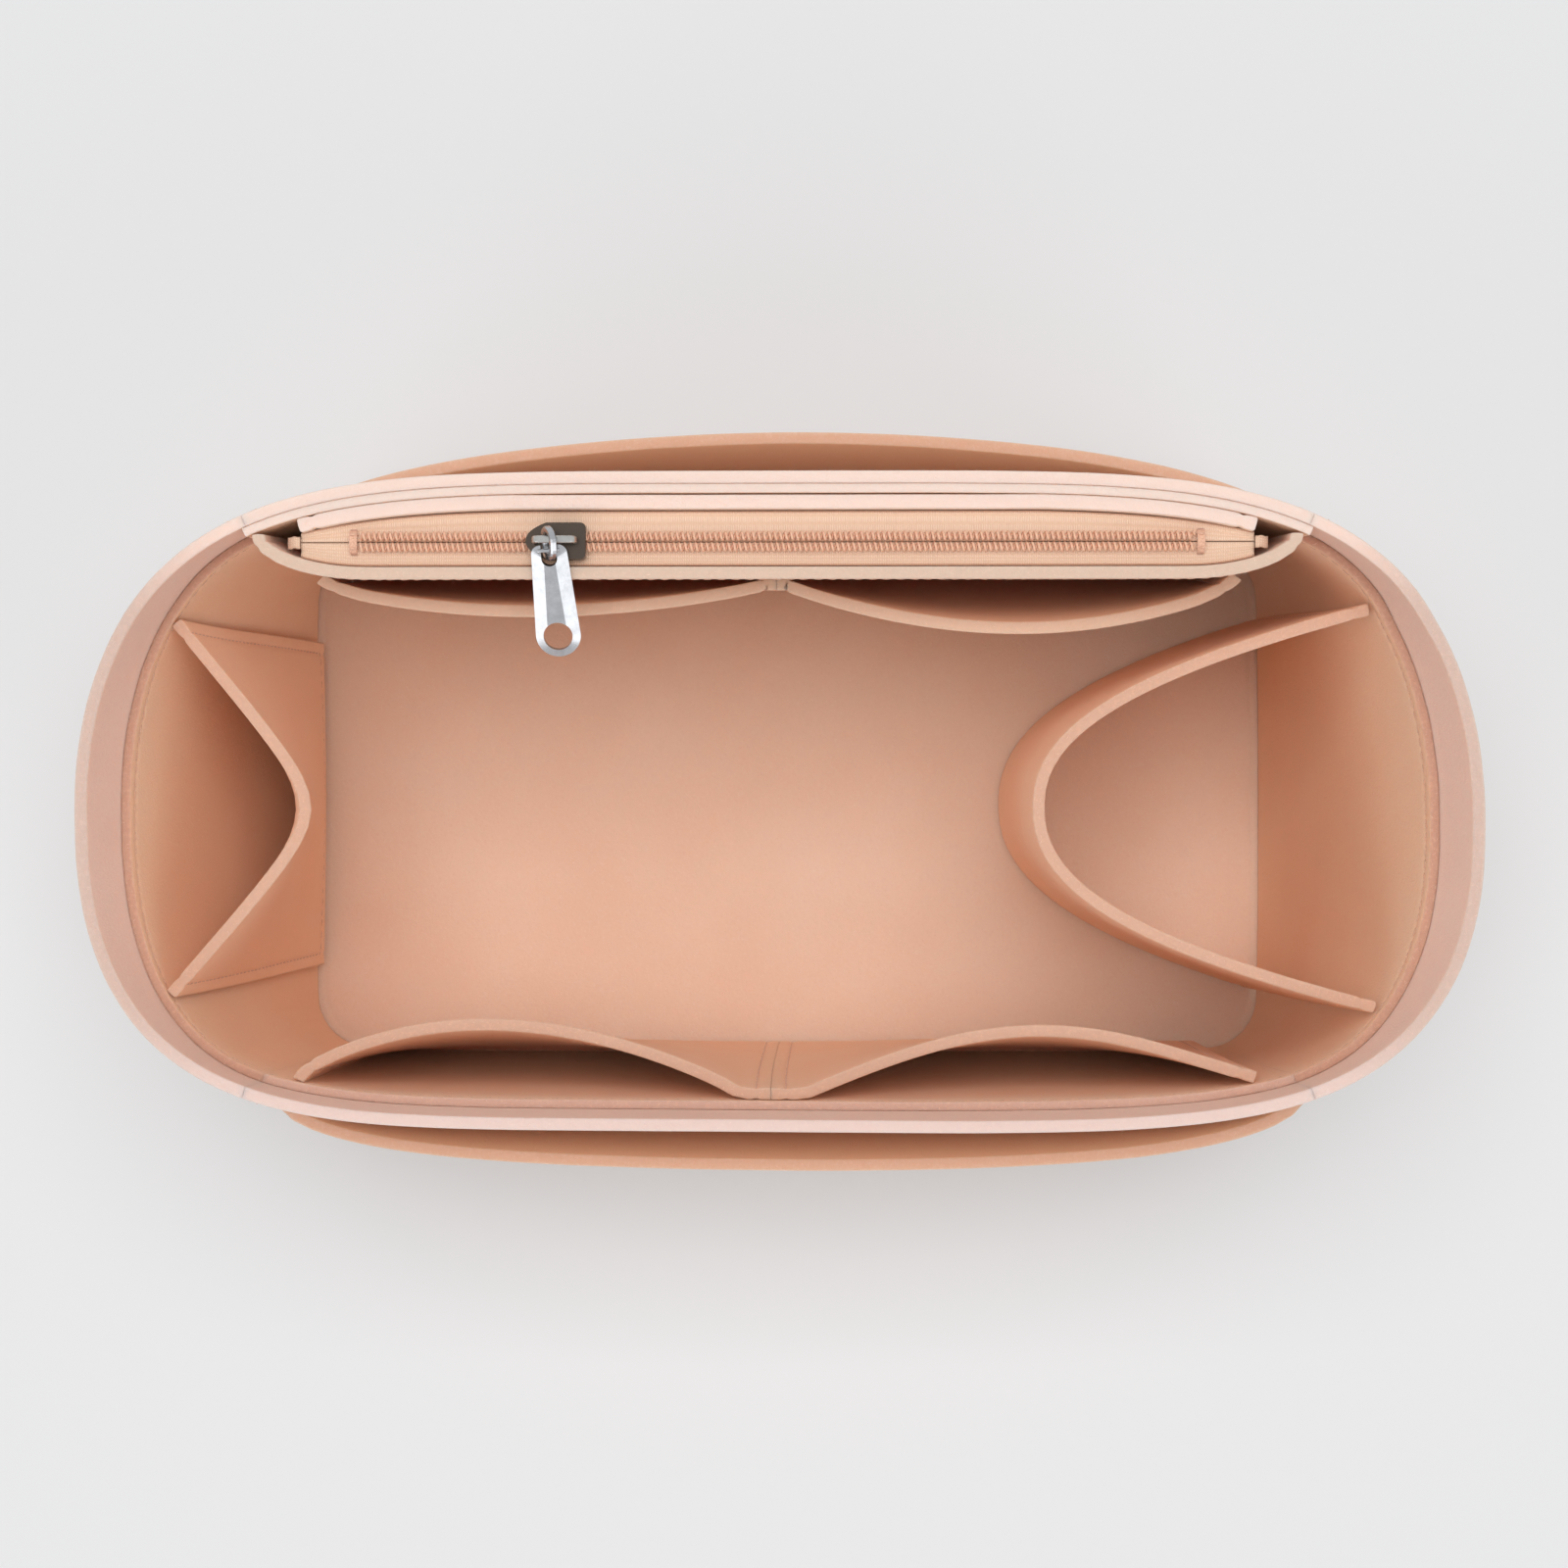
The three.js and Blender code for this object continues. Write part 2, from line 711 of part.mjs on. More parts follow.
// The ends of the tapes, turned down into the pocket in a quarter round
function addTapeFold(group, name, side) {
  const inner = foldReach - tapeThickness;
  const quarter = steps(arcSteps).map((u) => half(Math.PI) * u);
  const outline = [
    ...quarter.map((angle) => [foldReach * Math.sin(angle), foldReach * (Math.cos(angle) - 1)]),
    [foldReach, -foldDrop], [inner, -foldDrop],
    ...quarter.reverse().map((angle) => [inner * Math.sin(angle), inner * Math.cos(angle) - foldReach]),
  ];
  const startX = tapeHalfLength + seatGap;
  const sections = [-half(foldWidth), half(foldWidth)].map((y) => outline.map(([x, z]) => (
    new THREE.Vector3(side * (startX + x), zipY + y, tapeTop + z))));
  addPart(group, name, loftGeometry(sections), tapeMaterial());
}

function addZip(group) {
  addTape(group, 'zip_tape_front', -1, zipFrontBack);
  addTape(group, 'zip_tape_back', 1, zipBackFront);
  addCoil(group, 'zip_coil_front', -1);
  addCoil(group, 'zip_coil_back', 1);
  addEndTack(group, 'zip_end_tack_left', -1);
  addEndTack(group, 'zip_end_tack_right', 1);
  addTapeFold(group, 'zip_tape_fold_left', -1);
  addTapeFold(group, 'zip_tape_fold_right', 1);
}

// Slider seen from above: square behind, drawn in to a rounded nose in front
function sliderOutline(shape, width, noseWidth) {
  const rear = half(sliderLength);
  const wide = half(width);
  const nose = half(noseWidth);
  const shoulder = sliderNoseLength - rear;
  const corner = sliderCornerRadius;
  shape.moveTo(shoulder, -wide);
  shape.lineTo(rear - corner, -wide);
  shape.quadraticCurveTo(rear, -wide, rear, corner - wide);
  shape.lineTo(rear, wide - corner);
  shape.quadraticCurveTo(rear, wide, rear - corner, wide);
  shape.lineTo(shoulder, wide);
  shape.quadraticCurveTo(-rear, nose, -rear, 0);
  shape.quadraticCurveTo(-rear, -nose, shoulder, -wide);
  return shape;
}

function plateGeometry(width, noseWidth, low, high) {
  const shape = sliderOutline(new THREE.Shape(), width, noseWidth);
  const geometry = new THREE.ExtrudeGeometry(shape, {
    depth: high - low, bevelEnabled: false, curveSegments: half(arcSteps),
  });
  return geometry.translate(0, 0, low);
}

function blockGeometry(lengthX, widthY, low, high, centreX) {
  const geometry = new THREE.BoxGeometry(lengthX, widthY, high - low);
  return geometry.translate(centreX, 0, half(low + high));
}

// The crown: a strip that arches over the slider along x and roots in its top plate
function crownOutline() {
  const root = sliderTop - crownSink;
  const top = barHeight + half(crownThickness);
  const outer = half(crownSpan);
  const inner = outer - crownThickness;
  const straight = outer - crownShoulder;
  const under = top - crownThickness;
  const shape = new THREE.Shape();
  shape.moveTo(-outer, root);
  shape.lineTo(-outer, top - crownShoulder);
  shape.quadraticCurveTo(-outer, top, -straight, top);
  shape.lineTo(straight, top);
  shape.quadraticCurveTo(outer, top, outer, top - crownShoulder);
  shape.lineTo(outer, root);
  shape.lineTo(inner, root);
  shape.lineTo(inner, top - crownShoulder);
  shape.quadraticCurveTo(inner, under, straight, under);
  shape.lineTo(-straight, under);
  shape.quadraticCurveTo(-inner, under, -inner, top - crownShoulder);
  shape.lineTo(-inner, root);
  return shape;
}

function crownGeometry() {
  const geometry = new THREE.ExtrudeGeometry(crownOutline(), {
    depth: crownWidth - 2 * crownChamfer, bevelThickness: crownChamfer, bevelSize: crownChamfer,
    bevelOffset: -crownChamfer, bevelSegments: 1, curveSegments: half(arcSteps),
  });
  const turn = new THREE.Matrix4().makeBasis(
    new THREE.Vector3(1, 0, 0),
    new THREE.Vector3(0, 0, 1),
    new THREE.Vector3(0, -1, 0),
  );
  return geometry.translate(0, 0, crownChamfer - half(crownWidth)).applyMatrix4(turn);
}

function sliderGeometry() {
  const plateTop = tapeFoot - seatGap;
  const plateFoot = plateTop - sliderPlate;
  const flangeFoot = tapeTop + seatGap;
  const upperFoot = coilTop + seatGap;
  const channel = sliderWidth - 2 * sliderFlange;
  const webX = half(sliderWebLength - sliderLength) + sliderNoseLength / 4;
  const upper = solidOf(plateGeometry(sliderWidth, sliderNoseWidth, flangeFoot, sliderTop));
  const cut = solidOf(blockGeometry(2 * sliderLength, channel, flangeFoot - felt, upperFoot, 0));
  const lower = solidOf(plateGeometry(sliderLowerWidth, sliderLowerNoseWidth, plateFoot, plateTop));
  const web = solidOf(blockGeometry(sliderWebLength, sliderWeb, plateFoot + half(sliderPlate),
    sliderTop - half(sliderPlate), webX));
  return geometryOf(upper.subtract(cut).add(lower).add(web).add(solidOf(crownGeometry())));
}

function circleHole(x, y, radius) {
  return new THREE.Path().absarc(x, y, radius, 0, 2 * Math.PI, true);
}

// Link: a flat ring with straight sides, through the crown at one end and the pull's eye at the other
function linkGeometry() {
  const outer = linkInnerRadius + linkWire;
  const shape = new THREE.Shape();
  shape.absarc(0, 0, outer, half(Math.PI), -half(Math.PI), false);
  shape.absarc(linkCentreDistance, 0, outer, -half(Math.PI), half(Math.PI), false);
  const hole = new THREE.Path();
  hole.absarc(0, 0, linkInnerRadius, half(Math.PI), -half(Math.PI), false);
  hole.absarc(linkCentreDistance, 0, linkInnerRadius, -half(Math.PI), half(Math.PI), false);
  shape.holes.push(hole);
  const geometry = new THREE.ExtrudeGeometry(shape, {
    depth: linkWire - 2 * linkBevel, bevelThickness: linkBevel, bevelSize: linkBevel,
    bevelOffset: -linkBevel, bevelSegments: 1, curveSegments: half(arcSteps),
  });
  const turn = new THREE.Matrix4().makeBasis(
    new THREE.Vector3(0, -1, 0),
    new THREE.Vector3(0, 0, 1),
    new THREE.Vector3(-1, 0, 0),
  );
  geometry.translate(0, 0, linkBevel - half(linkWire)).applyMatrix4(turn);
  return geometry.rotateY(THREE.MathUtils.degToRad(linkLeanDeg));
}

// Pull: a slab that widens from a rounded head to a round end, with an eye and a finger hole
function pullGeometry() {
  const top = -eyeToHeadTop;
  const headHalf = half(pullHeadWidth);
  const endHalf = half(pullEndWidth);
  const tip = top + pullLength;
  const shape = new THREE.Shape();
  shape.moveTo(top, pullHeadCorner - headHalf);
  shape.quadraticCurveTo(top, -headHalf, top + pullHeadCorner, -headHalf);
  shape.lineTo(tip - endHalf, -endHalf);
  shape.absarc(tip - endHalf, 0, endHalf, -half(Math.PI), half(Math.PI), false);
  shape.lineTo(top + pullHeadCorner, headHalf);
  shape.quadraticCurveTo(top, headHalf, top, headHalf - pullHeadCorner);
  shape.holes.push(circleHole(0, 0, pullEyeRadius));
  shape.holes.push(circleHole(tip - pullHoleRim - pullHoleRadius, 0, pullHoleRadius));
  const geometry = new THREE.ExtrudeGeometry(shape, {
    depth: pullThickness - 2 * pullBevel, bevelThickness: pullBevel, bevelSize: pullBevel,
    bevelOffset: -pullBevel, bevelSegments: 1, curveSegments: half(arcSteps),
  });
  const turn = new THREE.Matrix4().makeBasis(
    new THREE.Vector3(0, -1, 0),
    new THREE.Vector3(1, 0, 0),
    new THREE.Vector3(0, 0, 1),
  );
  return geometry.translate(0, 0, pullBevel - half(pullThickness)).applyMatrix4(turn);
}

function addSlider(group) {
  const slider = new THREE.Group();
  slider.position.set(sliderRestX, zipY, 0);
  const swing = new THREE.Group();
  swing.position.set(-linkShift, 0, barHeight);
  swing.rotation.x = THREE.MathUtils.degToRad(pullDroopDeg);
  const turn = new THREE.Group();
  turn.position.y = -linkReach;
  turn.rotation.z = THREE.MathUtils.degToRad(pullTurnDeg);
  addPart(slider, 'slider_body', sliderGeometry(), steelMaterial());
  addPart(swing, 'pull_link', linkGeometry(), steelMaterial());
  addPart(turn, 'pull_tab', pullGeometry(), steelMaterial());
  swing.add(turn);
  slider.add(swing);
  group.add(slider);
}

const organizer = new THREE.Group();
addBottom(organizer);
addWalls(organizer);
addLinings(organizer);
addOuterPockets(organizer);
addFrontPockets(organizer);
addEndPocket(organizer);
addBottleHolder(organizer);
addZipPocket(organizer);
addSlipPocket(organizer, 'slip_pocket_left', -1, slipPocketLeftOpening);
addSlipPocket(organizer, 'slip_pocket_right', 1, slipPocketRightOpening);
addZip(organizer);
addSlider(organizer);

export default organizer;
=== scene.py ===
# %% [markdown]
# # A felt purse organizer insert
#
# The object is a tub of thick felt that stands in a handbag. It has a felt lining, pockets inside
# and outside, a looped bottle holder at one end, and a zipped pocket along its back.
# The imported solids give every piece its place. This lesson dresses them: each felt panel is built
# again with soft cut edges, then come thread, tape, the zip's coil and the metal pull.

# %% Load the solids and keep their box
import math

import bmesh
import bpy
import numpy as np
from mathutils import Matrix, Vector


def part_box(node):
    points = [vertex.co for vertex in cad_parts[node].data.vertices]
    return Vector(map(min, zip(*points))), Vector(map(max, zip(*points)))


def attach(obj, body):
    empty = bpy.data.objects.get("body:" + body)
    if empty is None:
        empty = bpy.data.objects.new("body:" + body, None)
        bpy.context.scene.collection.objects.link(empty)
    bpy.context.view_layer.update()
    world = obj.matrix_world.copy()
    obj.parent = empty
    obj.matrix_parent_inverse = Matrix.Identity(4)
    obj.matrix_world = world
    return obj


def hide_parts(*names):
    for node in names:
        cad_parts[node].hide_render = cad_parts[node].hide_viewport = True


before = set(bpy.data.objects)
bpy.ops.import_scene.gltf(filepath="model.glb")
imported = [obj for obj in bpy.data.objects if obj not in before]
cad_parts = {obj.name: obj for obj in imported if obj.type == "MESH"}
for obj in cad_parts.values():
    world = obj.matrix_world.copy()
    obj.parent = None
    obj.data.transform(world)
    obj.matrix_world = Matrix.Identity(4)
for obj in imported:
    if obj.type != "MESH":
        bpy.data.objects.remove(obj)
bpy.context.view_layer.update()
scene = bpy.context.scene
MM = 0.001

# %% [markdown]
# ## Sizes
#
# All sizes are in millimetres, as on a pattern sheet, and become metres only when a mesh is made.
# The tub stands with its origin under its middle: +X to the bottle holder, +Y to the zipped back.

# %% Sizes of the tub and its layers
RIM_LENGTH, RIM_WIDTH = 336, 158
RIM_FRONT_POWERS, RIM_BACK_POWERS = (5.4, 2.5), (5, 2.1)
BASE_LENGTH, BASE_WIDTH, BASE_CORNER = 287, 158, 20
HEIGHT, FELT, LINING = 160, 3, 2
SEAT_GAP, SEAM_GAP = 0.3, 0.1
WALL_FOOT = FELT + SEAT_GAP
FLOOR_TOP = WALL_FOOT + LINING
LINING_FOOT, LINING_TOP = FLOOR_TOP + SEAT_GAP, HEIGHT - 20
LINING_INSET = FELT + SEAT_GAP
FLOOR_INSET = FELT + 2 * SEAM_GAP
POCKET_INSET = LINING_INSET + LINING + SEAM_GAP
CORNER_SEAM_X, LINING_SEAM_X = 128, 129
ZIP_Y = 62.2
TAPE_TOP, TAPE_THICKNESS, TAPE_TURN_DOWN = 157.3, 0.7, 9
TAPE_HALF, COIL_HALF = 114, 100
print("lining from", LINING_FOOT, "to", LINING_TOP, "mm; inner pockets start at", POCKET_INSET)

# %% [markdown]
# ## The plan of the walls
#
# Seen from above, the foot is a rectangle with round corners, and the rim is a longer rounded
# outline: flat along the sides and full at the ends. A point of the wall is found by how far it
# lies round the tub, as a share from the middle of the front, and by its height. Both outlines
# are read at the same share and mixed by height, so the walls are ruled surfaces, as felt is.

# %% Outlines read by share of the way round
SAMPLES = 720


def mix(a, b, share):
    return a + (b - a) * share


def smooth(value, low, high):
    t = np.clip((np.asarray(value, float) - low) / (high - low), 0, 1)
    return t * t * (3 - 2 * t)


def steps_along(line):
    """Distances from each point of a plan line to the next."""
    return np.hypot(*np.diff(line, axis=0).T)


def outline_reader(points):
    closed = np.vstack([points, points[:1]])
    lengths = np.concatenate([[0], np.cumsum(steps_along(closed))])

    def read(share):
        wanted = (share - np.floor(share)) * lengths[-1]
        return np.stack([np.interp(wanted, lengths, closed[:, i]) for i in (0, 1)], axis=-1)

    return read, lengths[-1]


def rim_points():
    angle = 2 * np.pi * np.arange(SAMPLES) / SAMPLES - np.pi / 2
    c, s = np.cos(angle), np.sin(angle)
    side = np.where(s < 0, RIM_FRONT_POWERS[0], RIM_BACK_POWERS[0])
    end = np.where(s < 0, RIM_FRONT_POWERS[1], RIM_BACK_POWERS[1])
    x = RIM_LENGTH / 2 * np.sign(c) * np.abs(c) ** (2 / side)
    y = RIM_WIDTH / 2 * np.sign(s) * np.abs(s) ** (2 / end)
    return np.stack([x, y], axis=-1)


def base_points(inset=0.0, corner_steps=12):
    radius = BASE_CORNER - inset
    x, y = BASE_LENGTH / 2 - BASE_CORNER, BASE_WIDTH / 2 - BASE_CORNER
    points = [(0, -y - radius)]
    for quarter, (cx, cy) in enumerate([(x, -y), (x, y), (-x, y), (-x, -y)]):
        for step in range(corner_steps + 1):
            angle = np.pi / 2 * (quarter - 1 + step / corner_steps)
            points.append((cx + radius * np.cos(angle), cy + radius * np.sin(angle)))
    return np.array(points)


read_rim, rim_total = outline_reader(rim_points())
read_base, base_total = outline_reader(base_points())
print("rim goes round in", round(rim_total), "mm, foot in", round(base_total), "mm")

# %% Points of the wall at a share, a height and an inset
HALVINGS = 36


def section(share, z):
    share, z = np.broadcast_arrays(np.asarray(share, float), np.asarray(z, float))
    return mix(read_base(share), read_rim(share), (z / HEIGHT)[..., None])


def wall_point(share, z, inset):
    reach = 1 / SAMPLES
    along = section(share + reach, z) - section(share - reach, z)
    along /= np.hypot(along[..., 0], along[..., 1])[..., None]
    inward = np.stack([-along[..., 1], along[..., 0]], axis=-1)
    return section(share, z) + inward * np.asarray(inset, float)[..., None]


def share_where(value, z, axis, low, high):
    """The share between low and high where the wall has this x or y, at each height."""
    value, z = np.broadcast_arrays(np.asarray(value, float), np.asarray(z, float))
    from_share, to_share = np.full(value.shape, low), np.full(value.shape, high)
    rising = section(high, 0)[..., axis] > section(low, 0)[..., axis]
    for _ in range(HALVINGS):
        middle = (from_share + to_share) / 2
        below = (section(middle, z)[..., axis] < value) == rising
        from_share = np.where(below, middle, from_share)
        to_share = np.where(below, to_share, middle)
    return (from_share + to_share) / 2


def front_share(x, z):
    return share_where(x, z, 0, -0.25, 0.25)


def back_share(x, z):
    return share_where(x, z, 0, 0.25, 0.75)


def right_share(y, z):
    return share_where(y, z, 1, 0.0, 0.5)


def left_share(y, z):
    return 1 - right_share(y, z)


front_seam = float(front_share(CORNER_SEAM_X, HEIGHT))
back_seam = float(back_share(CORNER_SEAM_X, HEIGHT))
lining_seam = float(back_share(LINING_SEAM_X, HEIGHT))
print("corner seams at shares", round(front_seam, 3), round(back_seam, 3), round(lining_seam, 3))

# %% [markdown]
# ## A little unevenness
#
# Felt is never quite true. Every layer is moved by the same slow field, by about half a
# millimetre, so that panels wander together and never into each other. The field is a sum of a
# few long waves with fixed phases. It fades out at the floor, and beside the zip, which holds the
# felt straight.

# %% The slow field, and a finer waver for cut edges
rng = np.random.default_rng(7)
WAVES = [(rng.normal(size=3) / rng.uniform(26, 60), rng.uniform(0, 2 * np.pi), rng.normal(size=2))
         for _ in range(9)]
EDGE_WAVES = [(rng.normal(size=3) / rng.uniform(1.6, 7), rng.uniform(0, 2 * np.pi))
              for _ in range(14)]
WANDER = 0.17
STILL_BESIDE_Y, STILL_BESIDE_Z, STILL_BELOW_Z = (42, 52), (116, 142), (0, 30)


def slow_field(points):
    shift = np.zeros(points.shape[:-1] + (2,))
    for k, phase, direction in WAVES:
        shift += np.sin(points @ k + phase)[..., None] * direction
    y, z = points[..., 1], points[..., 2]
    beside_zip = smooth(y, *STILL_BESIDE_Y) * smooth(z, *STILL_BESIDE_Z)
    return WANDER * shift * (smooth(z, *STILL_BELOW_Z) * (1 - beside_zip))[..., None]


def edge_waver(points):
    return sum(np.sin(points @ k + phase) for k, phase in EDGE_WAVES) / len(EDGE_WAVES) ** 0.5


def settled(points):
    """Points with the slow field added to their x and y."""
    moved = np.array(points, float)
    moved[..., :2] += slow_field(moved)
    return moved


probe = np.stack(np.meshgrid(np.linspace(-160, 160, 40), [-70.0, 0, 70], [40.0, 140]), -1)
print("felt wanders by up to", round(float(np.abs(slow_field(probe)).max()), 2), "mm")

# %% [markdown]
# ## Meshes from arrays
#
# Every panel is a closed shell of two faces and a cut edge between them. Its corners are counted
# out in numpy and handed to Blender at once. The signed volume tells whether the faces point
# outwards, and turns the shell round where they don't.

# %% A closed mesh from arrays
def signed_volume(points, faces):
    total = 0.0
    for face in faces:
        a = points[face[0]]
        for b, c in zip(face[1:-1], face[2:]):
            total += np.dot(a, np.cross(points[b], points[c]))
    return total / 6


def new_object(name, points, faces, edges=(), smooth_shading=True):
    mesh = bpy.data.meshes.new(name)
    mesh.from_pydata((np.asarray(points) * MM).tolist(), list(edges), [list(f) for f in faces])
    mesh.validate()
    if smooth_shading and len(mesh.polygons):
        mesh.polygons.foreach_set("use_smooth", [True] * len(mesh.polygons))
    obj = bpy.data.objects.new(name, mesh)
    scene.collection.objects.link(obj)
    return obj


def closed_object(name, points, faces, smooth_shading=True):
    points = np.asarray(points)
    if signed_volume(points, faces) < 0:
        faces = [list(reversed(face)) for face in faces]
    return new_object(name, points, faces, smooth_shading=smooth_shading)


def grid_faces(rows, columns, start, flipped=False):
    index = start + np.arange(rows * columns).reshape(rows, columns)
    corners = index[:-1, :-1], index[:-1, 1:], index[1:, 1:], index[1:, :-1]
    quads = np.stack(corners, -1).reshape(-1, 4)
    return (quads[:, ::-1] if flipped else quads).tolist()


def ring_quads(rings, around, start=0):
    """Faces between rings of points that close on themselves, each ring after the last."""
    return [[a + i, a + (i + 1) % around, a + around + (i + 1) % around, a + around + i]
            for a in range(start, start + (rings - 1) * around, around) for i in range(around)]


print("mesh helpers are ready")

# %% [markdown]
# ## One felt panel
#
# Cut felt has soft arrises: the blade presses the fibres, and they spring back a little rounded.
# So near an edge the panel gets extra rows of points and gives up some of its thickness along a
# quarter circle. Along a seam the thread pulls both faces together in the same way.

# %% Rows of points that crowd at edges and seams
EDGE_RADIUS = 0.5
EDGE_ROWS = np.array([0, 0.08, 0.22, 0.42, 0.7, 1.6])
SEAM_ROWS = np.array([-1.9, -1.0, -0.45, 0, 0.45, 1.0, 1.9])
PANEL_STEP = 3.2
PINCH_DEPTH, PINCH_WIDTH = 0.2, 0.75


def crowded(length, seams):
    """Distances along a length in mm, close together at its ends and at its seams."""
    marks = [EDGE_ROWS, length - EDGE_ROWS]
    marks += [seam + SEAM_ROWS for seam in seams]
    marks = np.concatenate(marks)
    marks = marks[(marks >= 0) & (marks <= length)]
    inner = np.linspace(0, length, max(int(length / PANEL_STEP), 2) + 1)[1:-1]
    inner = [m for m in inner if np.abs(marks - m).min() > PANEL_STEP * 0.45]
    places = np.unique(np.round(np.concatenate([marks, inner]), 4))
    keep = np.concatenate([[True], np.diff(places) > 0.05])
    return places[keep]


def thickness_share(distance, half_thickness):
    """How much of the thickness is left at a distance from the cut edge."""
    radius = min(EDGE_RADIUS, half_thickness * 0.7)
    t = np.clip(1 - distance / radius, 0, 1)
    return 1 - radius / half_thickness * (1 - np.sqrt(1 - t * t))


def pinch(places, seams):
    """How much of the thickness the thread leaves along its seams."""
    left = np.ones(len(places))
    for seam in seams:
        left -= PINCH_DEPTH * np.exp(-((places - seam) / PINCH_WIDTH) ** 2)
    return left


print("rows of a 100 mm panel with one seam:", len(crowded(100, [50])))

# %% [markdown]
# A panel also keeps a number from 0 to 1 for how near a point is to the cut, and the colour of
# the cut, because cut felt shows its paler heart. These colours also hold painted light and
# shade: edges that catch more light get paler shades, edges in shade darker ones, and shades
# blend where two panels meet. A pocket on the outside has a painted glow on its face towards the
# wall, a warmer colour standing in for light that comes through the felt. The felt's finish reads
# both as attributes.

# %% Marks for the cut edges
# Colours of cut edges: the paler heart of cut felt with painted light and shade; end rims and end
# linings are painted darker, the back rim paler.
CUT_AND_PAINTED_LIGHT_SHADES = {
    "rim": (221, 197, 189),
    "back rim": (236, 209, 197),
    "end rim": (205, 180, 168),
    "lining": (206, 168, 152),
    "end lining": (198, 154, 134),
    "zip": (210, 186, 168),
    "inside": (210, 171, 149),
    "slip": (219, 187, 164),
    "outside": (217, 174, 149),
}
# Painted glow: the outer pockets' face towards the wall is painted warmer, standing in for light
# through the felt.
PAINTED_GLOW = {"outside": (253, 203, 163)}
BLEND_RUN = 38


def srgb(red, green, blue):
    """A colour as it is read off a screen, 0 to 255, as linear light."""
    values = [v / 255 for v in (red, green, blue)]
    return [v / 12.92 if v <= 0.04045 else ((v + 0.055) / 1.055) ** 2.4 for v in values] + [1.0]


def mark_cut(obj, edges, shade, places=None, width=1, glow_side=None):
    """Writes how near each point is to a cut, and the colour there, which holds painted light and
    shade. The last argument is 1 on the points of the face that a shade with a painted glow colours
    warmer, standing in for light through the felt."""
    start, middle, end = (shade,) * 3 if isinstance(shade, str) else shade
    places = np.zeros(len(edges)) if places is None else places
    colours = np.tile(srgb(*CUT_AND_PAINTED_LIGHT_SHADES[middle]), (len(edges), 1))
    for side, away in ((start, places), (end, width - places)):
        share = 1 - smooth(away, 0, BLEND_RUN)[:, None]
        colours = mix(colours, np.array(srgb(*CUT_AND_PAINTED_LIGHT_SHADES[side])), share)
    # The painted glow: the marked face takes the warmer colour, standing in for light through the
    # felt.
    if shade in PAINTED_GLOW:
        colours = mix(colours, np.array(srgb(*PAINTED_GLOW[shade])), (glow_side * (1 - edges))[:, None])
        edges = np.maximum(edges, glow_side)
    for name, kind, key, values in (("cut", "FLOAT", "value", edges),
                                    ("cut_and_painted_light_colour", "FLOAT_COLOR", "color", colours)):
        attribute = obj.data.attributes.new(name, kind, "POINT")
        attribute.data.foreach_set(key, values.astype(np.float32).ravel())


print("shades of cut edges:", len(CUT_AND_PAINTED_LIGHT_SHADES))

# %% The line of points round a cut
RIDGE, RIDGE_WAVER, WAVER_STRETCH = 0.08, 0.05, 1.7


def border(rows, columns):
    """The grid's border points in order, each with its neighbour further in."""
    last_row, last_column = rows - 1, columns - 1
    loop = [(0, c) for c in range(last_column)] + [(r, last_column) for r in range(last_row)]
    loop += [(last_row, c) for c in range(last_column, 0, -1)]
    loop += [(r, 0) for r in range(last_row, 0, -1)]
    inner = [(min(max(r, 1), last_row - 1), min(max(c, 1), last_column - 1)) for r, c in loop]
    return loop, inner


def cut_ridge(faces, butted):
    """Points midway between the faces that stand out a little, as the middle of cut felt does."""
    centre = (faces[0] + faces[1]) / 2
    loop, further_in = border(*centre.shape[:2])
    edge = np.array([centre[i] for i in loop])
    outward = edge - np.array([centre[i] for i in further_in])
    outward /= np.linalg.norm(outward, axis=-1)[:, None]
    bulge = RIDGE + RIDGE_WAVER * edge_waver(edge * WAVER_STRETCH)
    if butted:
        bulge = bulge * np.array([r in (0, len(centre) - 1) for r, c in loop])
    return loop, edge + outward * bulge[:, None]


def with_height(face, z):
    return np.concatenate([face, np.broadcast_to(z, face.shape[:-1])[..., None]], axis=-1)


def width_of(faces_at, foot, top):
    """The length of a panel's middle line, halfway up."""
    sample = faces_at(np.linspace(0, 1, 90)[None, :], np.array([[(foot + top) / 2]]))
    return float(steps_along((sum(sample) / 2)[0]).sum())


print("border of a 3 by 4 grid:", len(border(3, 4)[0]), "points")

# %% The panel maker
TOP_WAVER, TOP_WAVER_RUN = 0.16, 1.5
NEAR_CUT = 0.4
panels = {}


